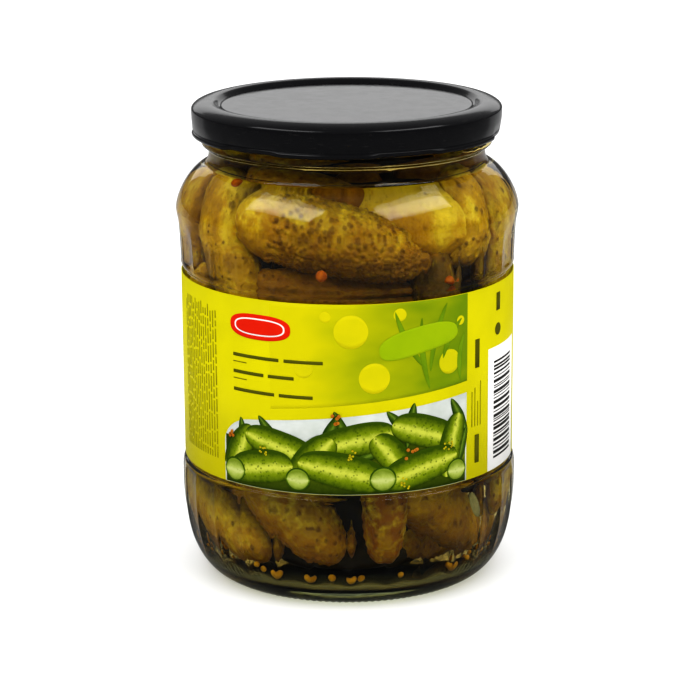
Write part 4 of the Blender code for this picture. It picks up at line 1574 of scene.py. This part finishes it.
    def wart_fields(self, gherkin: Gherkin, surface: Array, rng: np.random.Generator) -> tuple[Array, Array]:
        """How far the warts raise each point of a gherkin's skin, and how brown they stain it.

        Args:
            gherkin: the gherkin.
            surface: the points of its smooth skin.
            rng: the source of the warts' places and sizes.

        Returns:
            Two values from 0 to 1 for each point.
        """
        warty = np.flatnonzero(surface[:, 2] > gherkin.smooth_end * gherkin.length / 2)
        girth = np.hypot(surface[warty, 0], surface[warty, 1])
        chance = girth / girth.sum()
        middles = surface[rng.choice(warty, 1, p=chance)]
        while len(middles) < gherkin.warts:
            offers = surface[rng.choice(warty, self.wart_offers, p=chance)]
            apart = np.linalg.norm(offers[:, None] - middles[None], axis=2).min(axis=1)
            middles = np.vstack([middles, offers[apart.argmax()]])
        sizes = rng.uniform(*self.wart_sizes, gherkin.warts)
        shades = rng.uniform(*self.wart_shades, gherkin.warts)
        raised, stained = np.zeros(len(surface)), np.zeros(len(surface))
        for middle, size, shade in zip(middles, sizes, shades):
            distance = ((surface - middle) ** 2).sum(axis=1) / size ** 2
            raised = np.maximum(raised, np.exp(-distance))
            stained = np.maximum(stained, shade * np.exp(-self.stain_falloff * distance))
        return raised, stained

    def joined(self, name: str, gherkins: Sequence[Gherkin], ends: Array, grid: tuple[int, int],
               rng: np.random.Generator, material: bpy.types.Material) -> bpy.types.Object:
        """Joins several gherkins into one piece.

        Args:
            name: the piece's name.
            gherkins: the gherkins.
            ends: the ends of their axes.
            grid: how many rings and sides each has.
            rng: the source of their unevenness.
            material: their material.

        Returns:
            The object.
        """
        points, faces, attributes, first = [], [], {}, 0
        for gherkin, pair in zip(gherkins, ends):
            surface, values = self.skin(gherkin, pair, *grid, rng)
            points.append(surface)
            faces += capped_rings(*grid, first)
            for key, value in values.items():
                attributes.setdefault(key, []).append(value)
            first += len(surface)
        merged = {key: np.concatenate(value) for key, value in attributes.items()}
        return mesh_object(name, np.concatenate(points), faces, material, merged)

    def build(self) -> list[bpy.types.Object]:
        """Builds every gherkin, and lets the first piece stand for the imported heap."""
        gherkins = list(self.front) + self.hidden(np.random.default_rng(self.seed))
        ends = self.settle(gherkins)
        rng = np.random.default_rng(self.seed + 1)
        for gherkin in gherkins[len(self.front):]:
            gherkin.tone = rng.uniform(*self.hidden_tones)
            gherkin.warts, gherkin.wart_height = self.hidden_warts, self.hidden_wart_height
        material = self.finish.material()
        pieces = [self.joined(name, gherkins[first:last], ends[first:last], grid, rng, material)
                  for name, first, last, grid in self.batches]
        for piece in pieces:
            dress(piece, Part.HEAP, replaces=piece is pieces[0])
        pieces.append(self.build_core())
        return pieces

    def build_core(self) -> bpy.types.Object:
        """The core, painted near black as the shade between the gherkins."""
        side, rim, rounding = self.core_radius, self.core_radius - self.core_rounding, self.core_rounding
        top = rounded((side, self.core_top - rounding), (rim, self.core_top), 2.0, 6)
        foot = rounded((side, self.floor + rounding), (rim, self.floor), 2.0, 6)
        profile = [(0.0, self.core_top)] + top[::-1] + foot + [(0.0, self.floor)]
        # Painted shade: the core's near-black colour stands for the shade between the gherkins.
        dark = SpiceFinish("heap_shade", (0.030, 0.022, 0.002), (0.045, 0.030, 0.002), 0.5)
        core = turned_object("heap_core", profile, self.core_steps, dark.material())
        dress(core, Part.HEAP)
        return core


@dataclass
class Spices:
    """Mustard seeds on the floor of the jar, orange berries and a pale sliver between the gherkins."""
    seed_radius: float = 0.00110
    berry_radius: float = 0.0016
    wall_radius: float = 0.0430
    floor: float = 0.0054
    seeds: tuple[Point, ...] = (
        (-40, 0.0088), (-38, 0.0071), (-33, 0.0062), (-18, 0.0056), (1, 0.0062), (5, 0.0054), (51, 0.0058),
        (57, 0.0072), (-8, 0.0054), (24, 0.0054))
    back_azimuths: Numbers = (70.0, 300.0, 11.0)
    back_distances: Point = (0.024, 0.034)
    rings: int = 14
    sides: int = 20
    unevenness: float = 0.05
    berries: tuple[Numbers, ...] = ((-49, 0.1150, 0.0385), (-9.5, 0.0940, 0.0415), (41, 0.0900, 0.0400))
    sliver_length: float = 0.0085
    sliver_width: float = 0.0034
    sliver_thickness: float = 0.0005
    sliver_azimuth: float = 51.0
    sliver_height: float = 0.0255
    sliver_lean: float = -28.0

    def balls(self, name: str, places: Sequence[Numbers],
              material: bpy.types.Material) -> bpy.types.Object:
        """Several small uneven balls as one piece.

        Args:
            name: the piece's name.
            places: azimuth, distance from the axis, height and radius of each.
            material: their material.

        Returns:
            The object.
        """
        rng = np.random.default_rng(5)
        points, faces = [], []
        polar = np.linspace(0.0, math.pi, self.rings + 2)[1:-1]
        around = np.arange(self.sides) / self.sides * math.tau
        tips = np.array([[0.0, 0.0, 1.0], [0.0, 0.0, -1.0]])
        for number, (azimuth, distance, height, radius) in enumerate(places):
            dents = np.cos(2 * polar + rng.uniform(0, 6))[:, None] * np.cos(2 * around + rng.uniform(0, 6))
            dent = 1 + self.unevenness * dents
            ring = np.sin(polar)[:, None] * dent
            shell = np.stack([ring * np.cos(around), ring * np.sin(around), np.cos(polar)[:, None] * dent], 2)
            angle = math.radians(azimuth)
            middle = np.array([distance * math.sin(angle), -distance * math.cos(angle), height])
            points.append(np.concatenate([shell.reshape(-1, 3), tips]) * radius + middle)
            faces += capped_rings(self.rings, self.sides, number * (self.rings * self.sides + len(tips)))
        return mesh_object(name, np.concatenate(points), faces, material)

    def build(self) -> list[bpy.types.Object]:
        """Builds the seeds, the berries and the sliver."""
        seed_ink = SpiceFinish("mustard_seed", (0.62, 0.34, 0.012), (0.50, 0.24, 0.008), 0.35)
        berry_ink = SpiceFinish("orange_berry", (0.46, 0.13, 0.005), (0.34, 0.08, 0.004), 0.35)
        rng = np.random.default_rng(3)
        size = self.seed_radius
        places = [(azimuth, self.wall_at(height) - 1.6 * size, height + size, size * rng.uniform(0.85, 1.15))
                  for azimuth, height in self.seeds]
        places += [(azimuth, rng.uniform(*self.back_distances), self.floor + size,
                    size * rng.uniform(0.8, 1.1)) for azimuth in np.arange(*self.back_azimuths)]
        berries = [(azimuth, distance, height, self.berry_radius)
                   for azimuth, height, distance in self.berries]
        pieces = [self.balls("mustard_seeds", places, seed_ink.material()),
                  self.balls("orange_berries", berries, berry_ink.material()), self.build_sliver()]
        for piece in pieces:
            dress(piece, Part.HEAP)
        return pieces

    def build_sliver(self) -> bpy.types.Object:
        """A thin pale slice that leans against the glass."""
        pale = SpiceFinish("pale_sliver", (0.26, 0.22, 0.08), (0.20, 0.17, 0.06), 0.35)
        sliver = self.balls("pale_sliver", [(0.0, 0.0, 0.0, self.sliver_length / 2)], pale.material())
        shape = Matrix.Diagonal((self.sliver_width / self.sliver_length,
                                 self.sliver_thickness / self.sliver_length, 1.0, 1.0))
        lean = Matrix.Rotation(math.radians(self.sliver_lean), 4, "Y")
        place = Matrix.Translation((0.0, -self.wall_radius, self.sliver_height))
        around = Matrix.Rotation(math.radians(self.sliver_azimuth), 4, "Z")
        sliver.data.transform(around @ place @ lean @ shape)
        return sliver

    def wall_at(self, height: float) -> float:
        """The inner wall's radius near the floor."""
        jar = GlassJar()
        share = (jar.inner_heel_top - height) / (jar.inner_heel_top - jar.floor_height)
        side = math.sqrt(max(1.0 - min(share, 1.0) ** 2, 0.0))
        return jar.floor_radius + (jar.panel_radius - jar.wall - jar.floor_radius) * side


@dataclass
class Studio:
    """The pale floor, the soft lights and the camera at the photograph's angle."""
    camera_distance: float = 0.704165
    camera_height: float = 0.250859
    camera_side: float = 0.00054
    pitch: float = 14.985
    roll: float = -0.342
    lens: float = 132.21
    sensor_width: float = 36.0
    floor_size: float = 6.0
    # Painted reflection: the grey of the floor where the glass mirrors it, and the bright wedge behind the
    # jar.
    mirrored_floor: float = 0.36
    dome_strength: float = 1.0
    mirrored_dome: float = 0.30
    dome_greys: tuple[Point, ...] = ((0.0, 0.42), (0.26, 0.86), (0.7, 1.0))
    card_range: Point = (-0.07, 0.04)
    card_slope: float = 0.8
    card_brightness: float = 0.90
    aim_height: float = 0.07
    exposure: float = -0.15
    lights: tuple[tuple[str, Numbers, Point, float], ...] = (
        ("soft_left", (-0.60, -0.42, 0.85), (0.85, 0.36), 3.6),
        ("soft_right", (0.60, -0.38, 0.85), (0.85, 0.36), 3.6),
        ("soft_back", (0.0, 1.60, 0.56), (1.80, 0.50), 2.0))

    def build_camera(self) -> None:
        """Places the camera."""
        data = bpy.data.cameras.new("camera")
        data.lens = self.lens
        data.sensor_width = self.sensor_width
        camera = bpy.data.objects.new("camera", data)
        bpy.context.scene.collection.objects.link(camera)
        place = Matrix.Translation((self.camera_side, -self.camera_distance, self.camera_height))
        pitched = Matrix.Rotation(math.radians(90.0 - self.pitch), 4, "X")
        camera.matrix_world = place @ pitched @ Matrix.Rotation(math.radians(self.roll), 4, "Z")
        bpy.context.scene.camera = camera

    def build_floor(self) -> None:
        """Lays the floor that the jar stands on: evenly pale where it is seen, with a painted reflection
        where the glass mirrors it, dark in front and at the sides and bright in a wedge behind the jar.
        """
        graph = ShaderGraph("pale_floor")
        place = graph.place()
        cloud = graph.noise(place, 3.0, 3.0)
        pale = graph.blend(cloud, (0.90, 0.90, 0.90), (0.94, 0.94, 0.94))
        # Painted reflection: what the glass mirrors of the floor is dark at the front and sides and bright
        # behind the jar.
        off_middle = graph.maths("ABSOLUTE", graph.part_of(place, "X"))
        sideways = graph.maths("MULTIPLY", off_middle, self.card_slope)
        behind = graph.maths("SUBTRACT", graph.part_of(place, "Y"), sideways)
        card = graph.ranged(behind, *self.card_range, self.mirrored_floor, self.card_brightness)
        mirrored = graph.maths("GREATER_THAN", graph.add("ShaderNodeLightPath").outputs["Glossy Depth"], 0.5)
        graph.set(Base_Color=graph.blend(mirrored, pale, card), Roughness=0.65)
        half = self.floor_size / 2
        corners = np.array([[-half, -half, 0.0], [half, -half, 0.0], [half, half, 0.0], [-half, half, 0.0]])
        mesh_object("floor", corners, [(0, 1, 2, 3)], graph.material)

    def build_light(self, name: str, place: Sequence[float], size: Point, power: float) -> None:
        """Hangs a soft light that faces the jar.

        Args:
            name: the light's name.
            place: where it hangs.
            size: its width and height.
            power: its power in watts.
        """
        data = bpy.data.lights.new(name, "AREA")
        data.shape = "RECTANGLE"
        data.size, data.size_y = size
        data.energy = power
        light = bpy.data.objects.new(name, data)
        light.location = place
        aim = Vector((0.0, 0.0, self.aim_height)) - Vector(place)
        light.rotation_euler = aim.to_track_quat("-Z", "Y").to_euler()
        bpy.context.scene.collection.objects.link(light)

    def build_world(self) -> None:
        """Lights the room by a soft dome: brightest overhead, dimmer in reflections, white where it shows."""
        world = bpy.data.worlds.new("studio")
        bpy.context.scene.world = world
        world.use_nodes = True
        graph = NodeGraph(world.node_tree)
        background = world.node_tree.nodes["Background"]
        overhead = graph.part_of(graph.add("ShaderNodeTexCoord").outputs["Generated"], "Z")
        dome = graph.ramp(overhead, [(position, (grey, grey, grey)) for position, grey in self.dome_greys])
        path = graph.add("ShaderNodeLightPath")
        graph.feed(background.inputs["Color"], graph.blend(path.outputs["Is Camera Ray"], dome, WHITE))
        strength = graph.ranged(path.outputs["Glossy Depth"], 0.0, 1.0, self.dome_strength,
                                self.mirrored_dome)
        graph.feed(background.inputs["Strength"], strength)

    def build(self) -> None:
        """Sets up the whole studio."""
        self.build_camera()
        self.build_floor()
        self.build_world()
        for light in self.lights:
            self.build_light(*light)
        view = bpy.context.scene.view_settings
        view.view_transform = "Standard"
        view.look = "High Contrast"
        view.exposure = self.exposure


def main() -> None:
    """Builds the studio and every piece of the jar, in order."""
    logging.basicConfig(level=logging.INFO, format="%(name)s %(message)s")
    Studio().build()
    jar = GlassJar()
    jar.build()
    TwistCap().build()
    PaperLabel().build()
    Heap().build()
    Spices().build()
    Brine(jar).build()


if __name__ == "__main__":
    main()
